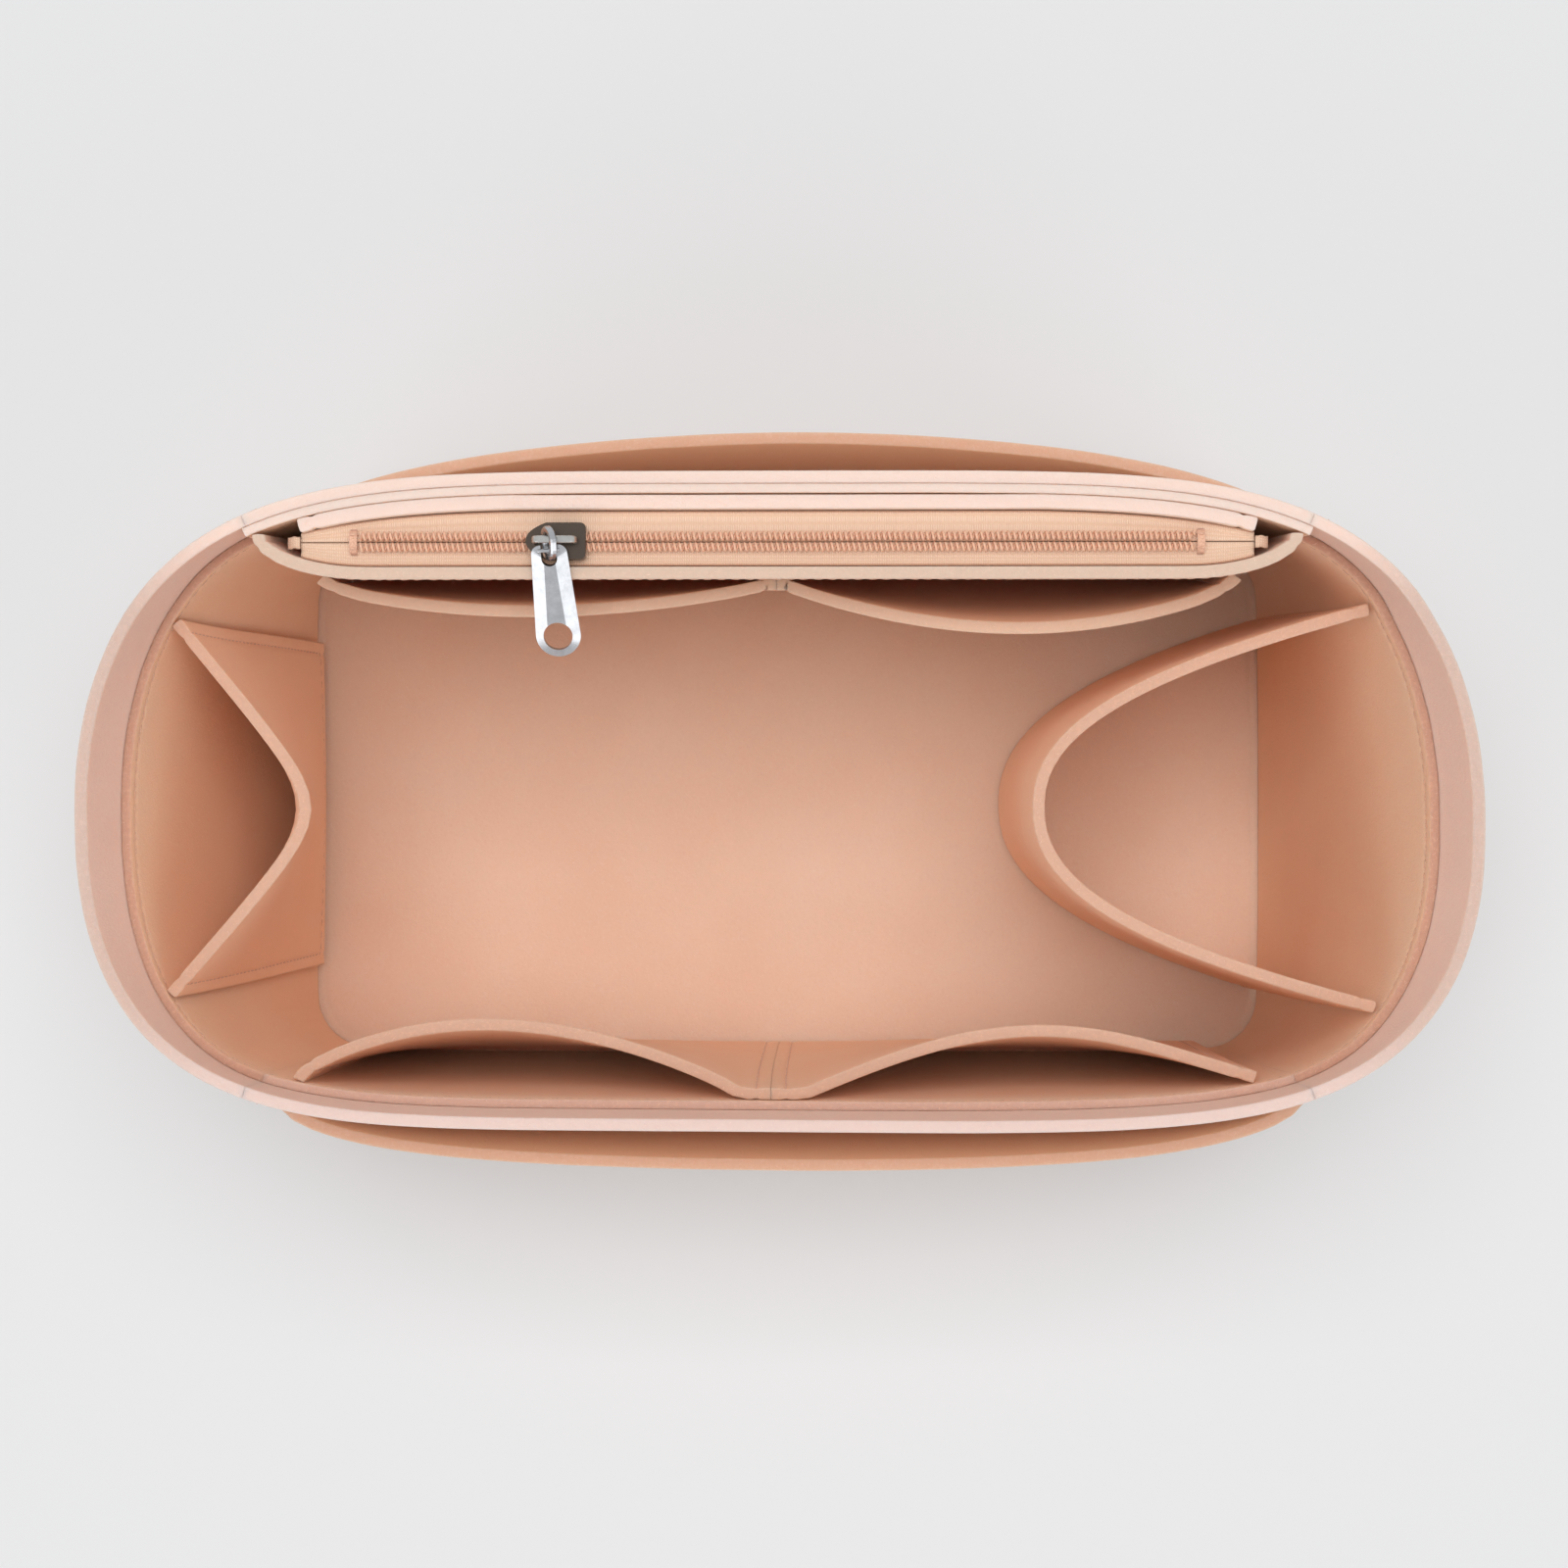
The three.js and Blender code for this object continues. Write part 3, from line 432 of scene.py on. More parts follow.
def panel(name, faces_at, foot, top, seam_columns, seam_rows, thickness, shade, butted):
    """Builds the panel that stands for the solid of this name, and keeps its measures.
    faces_at(u, z) gives both faces for shares of the width and for heights. shade names the colour
    of the cut edges, or three for start, middle and end. Butted sides meet the next panel, so they
    stay full."""
    width, height = width_of(faces_at, foot, top), top - foot
    across, up = crowded(width, seam_columns), crowded(height, seam_rows)
    u, z = (across / width)[None, :], (foot + up)[:, None]
    outer, inner = (with_height(face, z) for face in faces_at(u, z))
    middle, half_way = (outer + inner) / 2, (inner - outer) / 2
    to_side, to_end = np.minimum(across, width - across), np.minimum(up, height - up)
    at_sides = thickness_share(to_side + (EDGE_RADIUS if butted else 0), thickness / 2)
    left = np.minimum(at_sides[None, :], thickness_share(to_end, thickness / 2)[:, None])
    left = left * pinch(across, seam_columns)[None, :] * pinch(up, seam_rows)[:, None]
    near_top = np.exp(-(height - up) / TOP_WAVER_RUN)[:, None]
    middle[..., 2] += TOP_WAVER * edge_waver(middle) * near_top
    half_way = half_way * left[..., None]
    faces = [settled(middle - half_way), settled(middle + half_way)]
    loop, edge = cut_ridge(faces, butted)
    points = np.vstack([faces[0].reshape(-1, 3), faces[1].reshape(-1, 3), edge])
    rows, columns = len(up), len(across)
    count, around = rows * columns, len(loop)
    quads = grid_faces(rows, columns, 0) + grid_faces(rows, columns, count, flipped=True)
    numbers = [r * columns + c for r, c in loop]
    for i, (a, b) in enumerate(zip(numbers, numbers[1:] + numbers[:1])):
        c, d = 2 * count + i, 2 * count + (i + 1) % around
        quads += [[b, a, c, d], [d, c, count + a, count + b]]
    obj = closed_object(name + "_cloth", points, quads)
    to_cut = np.minimum(to_side[None, :] + (width if butted else 0), to_end[:, None])
    near = np.exp(-(to_cut / NEAR_CUT) ** 2).ravel()
    on_cut = np.exp(-to_cut ** 2)[tuple(np.transpose(loop))]
    places = np.concatenate([np.tile(across, 2 * rows), across[[c for r, c in loop]]])
    glow_side = np.repeat([1.0, 0.0], [count, count + around])
    mark_cut(obj, np.concatenate([near, near, on_cut]), shade, places, width, glow_side)
    panels[name] = {"width": width, "height": height, "across": across, "up": up,
                    "faces": faces, "object": obj}


print("panel maker is ready")

# %% [markdown]
# ## Trees of nodes
#
# Finishes and repeated details are both trees of nodes. One small kit builds them: a tree gets a
# function that adds a node, sets its properties, and sets or links its inputs by name or number.

# %% A kit for building node trees
def feed(node, inputs):
    """Sets a node's inputs, or links them where the value is another node's output."""
    for key, value in inputs.items():
        if isinstance(value, bpy.types.NodeSocket):
            node.id_data.links.new(value, node.inputs[key])
        else:
            node.inputs[key].default_value = value


def adder(tree):
    def add(kind, inputs=None, out=0, **settings):
        node = tree.nodes.new(kind)
        for key, value in settings.items():
            setattr(node, key, value)
        feed(node, inputs or {})
        return node.outputs[out] if len(node.outputs) else node

    return add


def maths(add, operation, *values):
    return add("ShaderNodeMath", dict(enumerate(values)), operation=operation)


def new_material(name):
    material = bpy.data.materials.new(name)
    material.use_nodes = True
    material.node_tree.nodes.clear()
    add = adder(material.node_tree)
    surface = add("ShaderNodeBsdfPrincipled")
    add("ShaderNodeOutputMaterial", {"Surface": surface})
    return material, add, surface.node


def noise(add, vector, scale, detail, roughness=0.55, out="Fac"):
    return add("ShaderNodeTexNoise", {"Vector": vector, "Scale": scale, "Detail": detail,
                                      "Roughness": roughness}, out)


def ramp(add, factor, *stops):
    colour = add("ShaderNodeValToRGB", {"Fac": factor})
    elements = colour.node.color_ramp.elements
    while len(elements) < len(stops):
        elements.new(0.5)
    for element, (place, shade) in zip(elements, stops):
        element.position, element.color = place, shade
    return colour


def mix_colour(add, factor, first, second, blend="MIX"):
    return add("ShaderNodeMix", {0: factor, 6: first, 7: second}, 2,
               data_type="RGBA", blend_type=blend)


def stretched(add, vector, scale, turn):
    return add("ShaderNodeMapping", {"Vector": vector, "Scale": scale, "Rotation": turn})


def object_place(add):
    return add("ShaderNodeTexCoord", out="Object")


def bumped(add, height, strength, distance):
    return add("ShaderNodeBump", {"Height": height, "Strength": strength, "Distance": distance})


print("node kit is ready")

# %% [markdown]
# ## Felt, the finish
#
# Needle felt is a mat of short fibres. Close up it shows a fine random grain, lighter and darker
# hairs, and slow cloudy patches; it has no gloss, only a faint sheen at grazing angles.
# Three layers of noise in the object's own coordinates make the grain: clouds, a mid grain and
# long thin flecks bent by another noise, so they read as hairs. They colour the base and feed a
# bump. The cut number of each panel mixes in the colour of its cut, with its painted light and
# shade, or the painted glow of its face towards the wall.
# A little subsurface lets light spread in the felt. The felt is one felt in three copies with
# painted light and shade: a paler copy for the walls and outer pockets, the plain one for the wide
# panels, and a deeper orange copy for the linings and inner pockets, standing in for the warm
# shade inside the tub.

# %% The felt finish
# Three copies of one felt with painted light and shade: walls paler, linings and inner pockets a
# deeper orange.
LIT_WALL_FELT = srgb(239, 210, 195), srgb(244, 221, 209), srgb(232, 197, 179)
FLOOR_FELT = srgb(242, 210, 189), srgb(247, 221, 204), srgb(235, 197, 174)
SHADED_INNER_FELT = srgb(250, 203, 172), srgb(252, 215, 187), srgb(247, 190, 156)
BLACK, WHITE = (0, 0, 0, 1), (1, 1, 1, 1)


def make_felt(name, base, light, dark):
    material, add, shader = new_material(name)
    place = object_place(add)
    clouds = noise(add, place, 24, 2)
    grain = noise(add, place, 900, 4, 0.7)
    bent = mix_colour(add, 0.006, place, noise(add, place, 260, 2, out="Color"), "ADD")
    hairs = [noise(add, stretched(add, bent, scale, turn), 1, 2, 0.6)
             for scale, turn in (((2600, 420, 1500), (0.3, 0.5, 0.9)),
                                 ((400, 2400, 1300), (0.7, 0.2, 2.1)))]
    flecks = maths(add, "MULTIPLY", *hairs)
    tone = ramp(add, clouds, (0.3, dark), (0.5, base), (0.72, light))
    calm = mix_colour(add, 0.3, base, tone)
    pale = ramp(add, flecks, (0.26, BLACK), (0.42, WHITE))
    deep = ramp(add, grain, (0.3, WHITE), (0.5, BLACK))
    haired = mix_colour(add, maths(add, "MULTIPLY", pale, 0.4), calm, light)
    shaded = mix_colour(add, maths(add, "MULTIPLY", deep, 0.3), haired, dark)
    # The cut colour attribute holds the cut's paler heart with painted light and shade, and the
    # painted glow.
    cut = add("ShaderNodeAttribute", out="Fac", attribute_name="cut")
    cut_and_painted_light_colour = add("ShaderNodeAttribute", out="Color", attribute_name="cut_and_painted_light_colour")
    rough_cut = maths(add, "MULTIPLY", cut, maths(add, "ADD", grain, 0.5))
    height = maths(add, "ADD", maths(add, "MULTIPLY", grain, 0.8), flecks)
    feed(shader, {
        "Base Color": mix_colour(add, rough_cut, shaded, cut_and_painted_light_colour), "Roughness": 0.95,
        "Specular IOR Level": 0.12, "Subsurface Weight": 0.6, "Subsurface Radius": (1.0, 0.8, 0.7),
        "Subsurface Scale": 0.004, "Sheen Weight": 0.12, "Sheen Roughness": 0.6,
        "Sheen Tint": light, "Normal": bumped(add, height, 0.45, 0.0004)})
    return material


lit_wall_felt = make_felt("lit_wall_felt", *LIT_WALL_FELT)
floor_felt = make_felt("floor_felt", *FLOOR_FELT)
shaded_inner_felt = make_felt("shaded_inner_felt", *SHADED_INNER_FELT)


def felt_of(name):
    if name.endswith(("_wall", "outer_pocket")):
        return lit_wall_felt
    return floor_felt if name.endswith("_panel") else shaded_inner_felt


print("felt finish:", len(lit_wall_felt.node_tree.nodes), "nodes")

# %% Dress a piece and hand it to the frame
def dress(obj, material, body, slot, *nodes):
    obj.data.materials.clear()
    obj.data.materials.append(material)
    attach(obj, body)
    if nodes:
        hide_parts(*nodes)
    return obj


def finish_felt(name):
    """A felt panel takes the place of the solid it is named after."""
    made = panels[name]
    obj = dress(made["object"], felt_of(name), "organizer", "felt", name)
    print(f"{name}: {made['width']:.0f} x {made['height']:.0f} mm, {len(obj.data.polygons)} faces")


# %% [markdown]
# ## Walls and linings
#
# Four wall panels make the tub. Their edges butt at the corners, where the shades of neighbouring
# cut edges blend, and they are sewn to each other and to the bottom. Behind them stands a thinner
# lining, cut 20 mm lower at the front and the ends, so that its top edge shows as a line round the
# inside, and full height along the back, where the zip hangs.

# %% Ring panels: walls and linings
SEWN, PRESSED = 3.6, 0.04
BUTT_GAP = 0.03 / rim_total
LINING_START = FELT + PRESSED


def ring_panel(name, from_share, to_share, foot, top, inset, thickness, seam_row, edge):
    def faces_at(u, z):
        share = mix(from_share + BUTT_GAP, to_share - BUTT_GAP, u)
        return wall_point(share, z, inset), wall_point(share, z, inset + thickness)

    panel(name, faces_at, foot, top, (), (seam_row,), thickness, edge, butted=True)
    finish_felt(name)


wall_runs = {
    "front_wall": (-front_seam, front_seam, "rim"),
    "right_end_wall": (front_seam, back_seam, ("rim", "end rim", "back rim")),
    "back_wall": (back_seam, 1 - back_seam, "back rim"),
    "left_end_wall": (1 - back_seam, 1 - front_seam, ("back rim", "end rim", "rim")),
}
for name, (start, stop, edge) in wall_runs.items():
    ring_panel(name, start, stop, WALL_FOOT, HEIGHT, 0, FELT, SEWN, edge)

lining_runs = {
    "front_lining": (-front_seam, front_seam, LINING_TOP, "lining"),
    "right_end_lining": (front_seam, lining_seam, LINING_TOP, "end lining"),
    "back_lining": (lining_seam, 1 - lining_seam, HEIGHT, "back rim"),
    "left_end_lining": (1 - lining_seam, 1 - front_seam, LINING_TOP, "end lining"),
}
for name, (start, stop, top, edge) in lining_runs.items():
    ring_panel(name, start, stop, LINING_FOOT, top, LINING_START,
               LINING_INSET + LINING - LINING_START, top - LINING_FOOT - SEWN, edge)

# %% [markdown]
# ## Bottom and floor
#
# The bottom is the outer felt, and the floor a thinner piece that lies on it inside the walls.
# Both are plain shapes with round corners. Rings of points run from the cut edge to the middle,
# close together where the edge rounds over.

# %% Flat panels
RIM_STEP, CENTRE_REACH = 4, 4
SWELL, SWELL_STRETCH, SWELL_RUN = 0.12, 0.15, (2, 9)
NEAR_FLAT_CUT = 0.45


def flat_panel(name, inset, foot, thickness, seam):
    read, total = outline_reader(base_points(inset, 10))
    around = int(total / RIM_STEP)
    rim = read(np.arange(around) / around)
    reach = BASE_WIDTH / 2 - inset
    depths = crowded(2 * reach, [seam])
    depths = depths[depths < reach - CENTRE_REACH]
    tops, unders = [], []
    for depth in depths:
        flat = rim * (1 - depth / np.array([BASE_LENGTH / 2 - inset, reach]))
        left = thickness_share(depth, thickness / 2) * pinch(np.array([depth]), [seam])[0]
        middle = with_height(flat, np.array(foot + thickness / 2))
        top, under = (middle + np.array([0, 0, side * left * thickness / 2]) for side in (1, -1))
        top[:, 2] += SWELL * edge_waver(top * SWELL_STRETCH) * smooth(depth, *SWELL_RUN)
        tops.append(settled(top))
        unders.append(settled(under))
    count, low = len(depths), len(depths) * around
    points, faces = np.vstack(tops + unders), []
    for start, flipped in ((0, False), (low, True)):
        last, centre = start + low - around, len(points)
        points = np.vstack([points, points[last:last + around].mean(axis=0)])
        made = ring_quads(count, around, start)
        made += [[last + i, last + (i + 1) % around, centre] for i in range(around)]
        faces += [face[::-1] if flipped else face for face in made]
    faces += [[(i + 1) % around, i, low + i, low + (i + 1) % around] for i in range(around)]
    obj = closed_object(name + "_cloth", points, faces)
    near = np.exp(-(np.repeat(depths, around) / NEAR_FLAT_CUT) ** 2)
    mark_cut(obj, np.concatenate([near, near, [0, 0]]), "inside")
    dress(obj, felt_of(name), "organizer", "felt", name)
    print(f"{name}: {len(obj.data.polygons)} faces")


flat_panel("bottom_panel", 0, 0, FELT, SEWN)
flat_panel("floor_panel", FLOOR_INSET, WALL_FOOT, LINING, SEWN)

# %% [markdown]
# ## Pockets
#
# A pocket is a panel sewn down at its sides and foot, with a mouth that stands open. Its line is
# known at every height: nearly flat at the foot, and arched at the top. The pockets' arches come
# from sine curves, skewed where the fullest place lies off the middle. The panel's second face
# is found square to that line.

# %% Faces of a pocket from the line of one face
DENSE, LENGTH_STEPS, MEASURED_AT = 601, 401, 120.0


def opened(z, foot, top):
    return (z - foot) / (top - foot)


def mouth(u, peak, fullness):
    skew = math.log(0.5) / math.log(peak)
    return np.maximum(np.sin(np.pi * np.clip(u, 0, 1) ** skew), 0) ** fullness


def thickened(line, thickness):
    """The line moved to its left, square to its own direction."""
    along = np.gradient(line, axis=1)
    along /= np.hypot(along[..., 0], along[..., 1])[..., None]
    return line + np.stack([-along[..., 1], along[..., 0]], axis=-1) * thickness


def dense_line(line_at, thickness):
    """Faces at any shares, read from a dense copy of the line so that directions are true."""
    dense = np.linspace(0, 1, DENSE)

    def faces_at(u, z):
        line = line_at(dense[None, :], z)
        u = np.broadcast_to(u, (len(line), u.shape[1]))
        return [np.stack([[np.interp(at, dense, row[:, axis]) for at, row in zip(u, face)]
                          for axis in (0, 1)], axis=-1)
                for face in (line, thickened(line, thickness))]

    return faces_at


def by_length(line_at):
    """The same line with its share counted by length, so that columns are even."""
    shares = np.linspace(0, 1, LENGTH_STEPS)
    line = line_at(shares[None, :], np.array([[MEASURED_AT]]))[0]
    lengths = np.concatenate([[0], np.cumsum(steps_along(line))])
    return lambda u, z: line_at(np.interp(u, lengths / lengths[-1], shares), z)


def pocket(name, line_at, foot, top, thickness, edge="inside", butted=False):
    faces_at = dense_line(by_length(line_at), thickness)
    seams = (SEWN, width_of(faces_at, foot, top) - SEWN)
    panel(name, faces_at, foot, top, seams, (SEWN,), abs(thickness), edge, butted)
    finish_felt(name)


print("a mouth is widest at", float(mouth(0.5, 0.5, 1)))

# %% Outer pockets
OUTER_TOP, OUTER_FOOT, OUTER_OPENING = 120, 14, 11.5


def outer_line(share_at, from_x, to_x, fullness):
    def line_at(u, z):
        air = OUTER_OPENING * opened(z, OUTER_FOOT, OUTER_TOP) * mouth(u, 0.5, fullness)
        return wall_point(share_at(mix(from_x, to_x, u), z), z, -SEAM_GAP - air)

    return line_at


for name, line in (("front_outer_pocket", outer_line(front_share, -124, 130, 0.34)),
                   ("back_outer_pocket", outer_line(back_share, 124, -114, 0.8))):
    pocket(name, line, OUTER_FOOT, OUTER_TOP, -FELT, "outside")

# %% Front pockets inside
FRONT_TOP, FRONT_FOOT, FRONT_END_X = 138, 12, 118
JOIN_X, JOIN_FLAT = -1.5, 8.5
FOOT_PRESS, FOOT_PRESS_RUN = 0.45, 9


def front_line(side, opening, peak, fullness):
    outer_x, inner_x = side * FRONT_END_X, JOIN_X + side * JOIN_FLAT
    join_x = JOIN_X + side * SEAM_GAP / 2

    def line_at(u, z):
        x = mix(outer_x, join_x, u)
        along = np.clip((x - outer_x) / (inner_x - outer_x), 0, 1)
        pressed = FOOT_PRESS * (1 - smooth(z, FRONT_FOOT, FRONT_FOOT + FOOT_PRESS_RUN))
        air = opening * opened(z, FRONT_FOOT, FRONT_TOP) * mouth(along, peak, fullness) - pressed
        return wall_point(front_share(x, z), z, POCKET_INSET + air)

    return line_at


for name, side, shape in (("front_pocket_left", -1, (16.6, 0.44, 0.8)),
                          ("front_pocket_right", 1, (15.6, 0.49, 1))):
    pocket(name, front_line(side, *shape), FRONT_FOOT, FRONT_TOP, -side * FELT, butted=True)

# %% [markdown]
# The left end pocket is one panel pushed out to a blunt point. The bottle holder is a wide band
# whose feet are sewn to the right end, so that it loops into the tub. Both lines run between two
# feet on the lining: the pocket's as a rounded wedge, and the band's as a full round nose.

# %% End pocket and bottle holder
END_TOP, END_FOOT, END_APEX_X, END_FEET_Y = 139, 10, -118.1, (46, -49)
BLUNT, END_FOOT_REACH = 0.2, 0.4
HOLDER_TOP, HOLDER_APEX_X, HOLDER_FEET_Y = 137, 65.6, (-53.2, 49.6)
HOLDER_NOSE, HOLDER_GAP = 2.3, 1.6


def between_feet(share_at, feet_y, u, z, inset):
    """Points on the straight line between two feet on the lining."""
    first, second = (wall_point(share_at(y, z), z, inset) for y in feet_y)
    return mix(first, second, u[..., None])


def end_line(u, z):
    point = between_feet(left_share, END_FEET_Y, u, z, POCKET_INSET)
    blunt = math.hypot(1, BLUNT)
    reach = mix(END_FOOT_REACH, END_APEX_X - point[..., 0], opened(z, END_FOOT, END_TOP))
    point[..., 0] += reach * (blunt - np.hypot(2 * u - 1, BLUNT)) / (blunt - BLUNT)
    return point


def holder_line(u, z):
    point = between_feet(right_share, HOLDER_FEET_Y, u, z, POCKET_INSET + HOLDER_GAP)
    point[..., 0] = mix(HOLDER_APEX_X, point[..., 0], np.abs(2 * u - 1) ** HOLDER_NOSE)
    return point


pocket("left_end_pocket", end_line, END_FOOT, END_TOP, FELT)
pocket("bottle_holder", holder_line, FLOOR_TOP + SEAT_GAP, HOLDER_TOP, FELT)

# %% [markdown]
# ## The zipped pocket
#
# Its front panel hangs across the whole back, straight in the middle and turned back to the
# lining at both ends. Its back panel lies against the lining. Two slip pockets are sewn to the
# front panel and share a seam in the middle.

# %% The zipped pocket
ZIP_FOOT, ZIP_END_X = 9, 127.5
TURN_AT_FOOT, TURN_AT_TOP, TURN_RUN = 12.6, 27.5, 1.35
FACE_Y_AT_FOOT, FACE_Y_AT_TOP = 66.6, 53.1
BACK_Y_AT_FOOT, BACK_Y_AT_TOP, BACK_DRAWN = 73.2, 71.7, 1.6
BACK_DRAWN_RUN, BACK_END_X, BACK_PANEL = (138, 157), 116, FELT + 0.4


def zip_shape(z):
    """End of the front panel, the reach of its turned part in x, and the y of its straight part."""
    share = opened(z, ZIP_FOOT, HEIGHT)
    end = wall_point(back_share(ZIP_END_X, HEIGHT), z, POCKET_INSET)
    turn = mix(TURN_AT_FOOT, TURN_AT_TOP, share)
    return end[..., 0], end[..., 1], turn, mix(FACE_Y_AT_FOOT, FACE_Y_AT_TOP, share)


def zip_front_y(x, z):
    end_x, end_y, turn, face_y = zip_shape(z)
    straight = end_x - turn
    t = np.clip((np.abs(x) - straight) / (end_x - straight), 0, 1)
    return mix(end_y, face_y, np.sqrt(1 - t * t))


def zip_front_line(u, z):
    end_x, end_y, turn, face_y = zip_shape(z)
    straight, curved = end_x - turn, TURN_RUN * turn
    place = (u - 0.5) * (2 * straight + 2 * curved)
    past = np.clip((np.abs(place) - straight) / curved, 0, 1) * np.pi / 2
    x = np.sign(place) * (np.minimum(np.abs(place), straight) + turn * np.sin(past))
    return np.stack([x, mix(end_y, face_y, np.cos(past))], axis=-1)


def zip_back_y(wall_y, z):
    """The back panel stands a little off the lining, and its top seam draws it back."""
    stands = mix(BACK_Y_AT_FOOT, BACK_Y_AT_TOP, opened(z, ZIP_FOOT, HEIGHT))
    return np.minimum(wall_y, stands + BACK_DRAWN * smooth(z, *BACK_DRAWN_RUN))


def zip_back_line(u, z):
    point = wall_point(back_share(mix(BACK_END_X, -BACK_END_X, u), z), z, POCKET_INSET)
    point[..., 1] = zip_back_y(point[..., 1], z)
    return point


pocket("zip_pocket_front_panel", zip_front_line, ZIP_FOOT, HEIGHT, FELT, "zip")
pocket("zip_pocket_back_panel", zip_back_line, ZIP_FOOT, HEIGHT, BACK_PANEL, "back rim")

# %% Slip pockets on the front panel
SLIP_TOP, SLIP_FOOT, SLIP_END_RUN, SLIP_FLAT = 130, 34, 12.5, 3


def slip_line(side, opening):
    def line_at(u, z):
        outer_x = zip_shape(z)[0] - SLIP_END_RUN
        x = mix(outer_x, SEAM_GAP / 2, u)
        along = np.clip((x - outer_x) / (SLIP_FLAT - outer_x), 0, 1)
        air = opening * opened(z, SLIP_FOOT, SLIP_TOP) * mouth(along, 0.48, 0.8)
        return np.stack([side * x, zip_front_y(x, z) - SEAM_GAP - air], axis=-1)

    return line_at


for name, side, opening in (("slip_pocket_left", -1, 6.5), ("slip_pocket_right", 1, 10.5)):
    pocket(name, slip_line(side, opening), SLIP_FOOT, SLIP_TOP, side * FELT, "slip", butted=True)

# %% [markdown]
# ## Seams
#
# The felt is sewn by machine with a thread of its own colour. A row of stitches is the same short
# loop again and again at an even pitch, which is what Geometry Nodes are made for. First come the
# rows themselves, as plain lines that lie on the panels, read back from the panels' own points.

# %% Lines on the panels
SEAM_STEP, WALL_DROP, POCKET_DROP, LINING_MARGIN = 2, 2, 1.5, 2
RIM_SEAM_MARGIN, RIM_SEAM_DROP = 14, 5
seam_lines = []


def on_panel(name, side, across, up):
    """Points on one face of a panel, at distances in mm from its left edge and its foot."""
    made = panels[name]
    face = made["faces"][side]
    column = np.interp(across, made["across"], np.arange(len(made["across"])))
    row = np.interp(up, made["up"], np.arange(len(made["up"])))
    r, c = (np.minimum(v.astype(int), n - 2) for v, n in zip((row, column), face.shape))
    s, t = (column - c)[..., None], (row - r)[..., None]
    low = mix(face[r, c], face[r, c + 1], s)
    return mix(low, mix(face[r + 1, c], face[r + 1, c + 1], s), t)


def sew(name, side, corners):
    """Adds a seam that runs straight from corner to corner on the panel."""
    corners = np.array(corners, float)
    points = [corners[0]]
    for start, stop in zip(corners[:-1], corners[1:]):
        count = max(int(np.hypot(*(stop - start)) / SEAM_STEP), 1)
        points += [mix(start, stop, (i + 1) / count) for i in range(count)]
    points = np.array(points)
    seam_lines.append(on_panel(name, side, points[:, 0], points[:, 1]))


def sew_round(name, side, from_top):
    """Down one side of a panel, along its foot and up the other."""
    right, top = panels[name]["width"] - SEWN, panels[name]["height"] - from_top
    sew(name, side, [(SEWN, top), (SEWN, SEWN), (right, SEWN), (right, top)])


def sew_across(name, side, margin, from_top):
    width, height = panels[name]["width"], panels[name]["height"]
    sew(name, side, [(margin, height - from_top), (width - margin, height - from_top)])


for name in wall_runs:
    sew_round(name, 0, WALL_DROP)
for name in lining_runs:
    sew_across(name, 1, LINING_MARGIN, SEWN)
for name in ("front_outer_pocket", "back_outer_pocket", "front_pocket_left", "front_pocket_right",
             "left_end_pocket", "bottle_holder", "slip_pocket_left", "slip_pocket_right"):
    for side in (0, 1):
        sew_round(name, side, POCKET_DROP)
for name in ("zip_pocket_front_panel", "zip_pocket_back_panel"):
    sew_across(name, 0, RIM_SEAM_MARGIN, RIM_SEAM_DROP)
sewn_length = sum(np.linalg.norm(np.diff(line, axis=0), axis=1).sum() for line in seam_lines)
print(len(seam_lines), "seams,", round(sewn_length / 1000, 1), "m of stitching")

# %% [markdown]
# The tree below turns each line into a curve, places a point every pitch, and puts a small long
# bead there that lies along the line and leans a little at random. Half of each bead is sunk in
# the felt, as tight thread is.

# %% Geometry trees: their start, their end and their use
def new_tree(name, **inputs):
    tree = bpy.data.node_groups.new(name, "GeometryNodeTree")
    sockets = {"Geometry": "Geometry", **inputs}
    for label, kind in sockets.items():
        tree.interface.new_socket(label.replace("_", " "), in_out="INPUT",
                                  socket_type="NodeSocket" + kind)
    tree.interface.new_socket("Geometry", in_out="OUTPUT", socket_type="NodeSocketGeometry")
    return tree, adder(tree), tree.nodes.new("NodeGroupInput").outputs


def end_tree(add, given, geometry, soft=False):
    """Makes instances real, paints the mesh and hands it out."""
    mesh = add("GeometryNodeRealizeInstances", {"Geometry": geometry})
    if soft:
        mesh = add("GeometryNodeSetShadeSmooth", {"Geometry": mesh})
    mesh = add("GeometryNodeSetMaterial", {"Geometry": mesh, "Material": given["Material"]})
    add("NodeGroupOutput", {"Geometry": mesh})


def settle(obj):
    """Makes the result of the object's modifiers its plain mesh."""
    depsgraph = bpy.context.evaluated_depsgraph_get()
    mesh = bpy.data.meshes.new_from_object(obj.evaluated_get(depsgraph))
    obj.modifiers.clear()
    obj.data = mesh


def run_tree(obj, tree, **values):
    modifier = obj.modifiers.new("build", "NODES")
    modifier.node_group = tree
    sockets = {item.name: item.identifier for item in tree.interface.items_tree
               if item.in_out == "INPUT"}
    for label, value in values.items():
        modifier[sockets[label.replace("_", " ")]] = value
    settle(obj)


def turned(add, rotation, by):
    return add("FunctionNodeRotateRotation", {"Rotation": rotation, "Rotate By": by},
               rotation_space="LOCAL")


def vector(add, **parts):
    return add("ShaderNodeCombineXYZ", parts)


print("tree kit is ready")

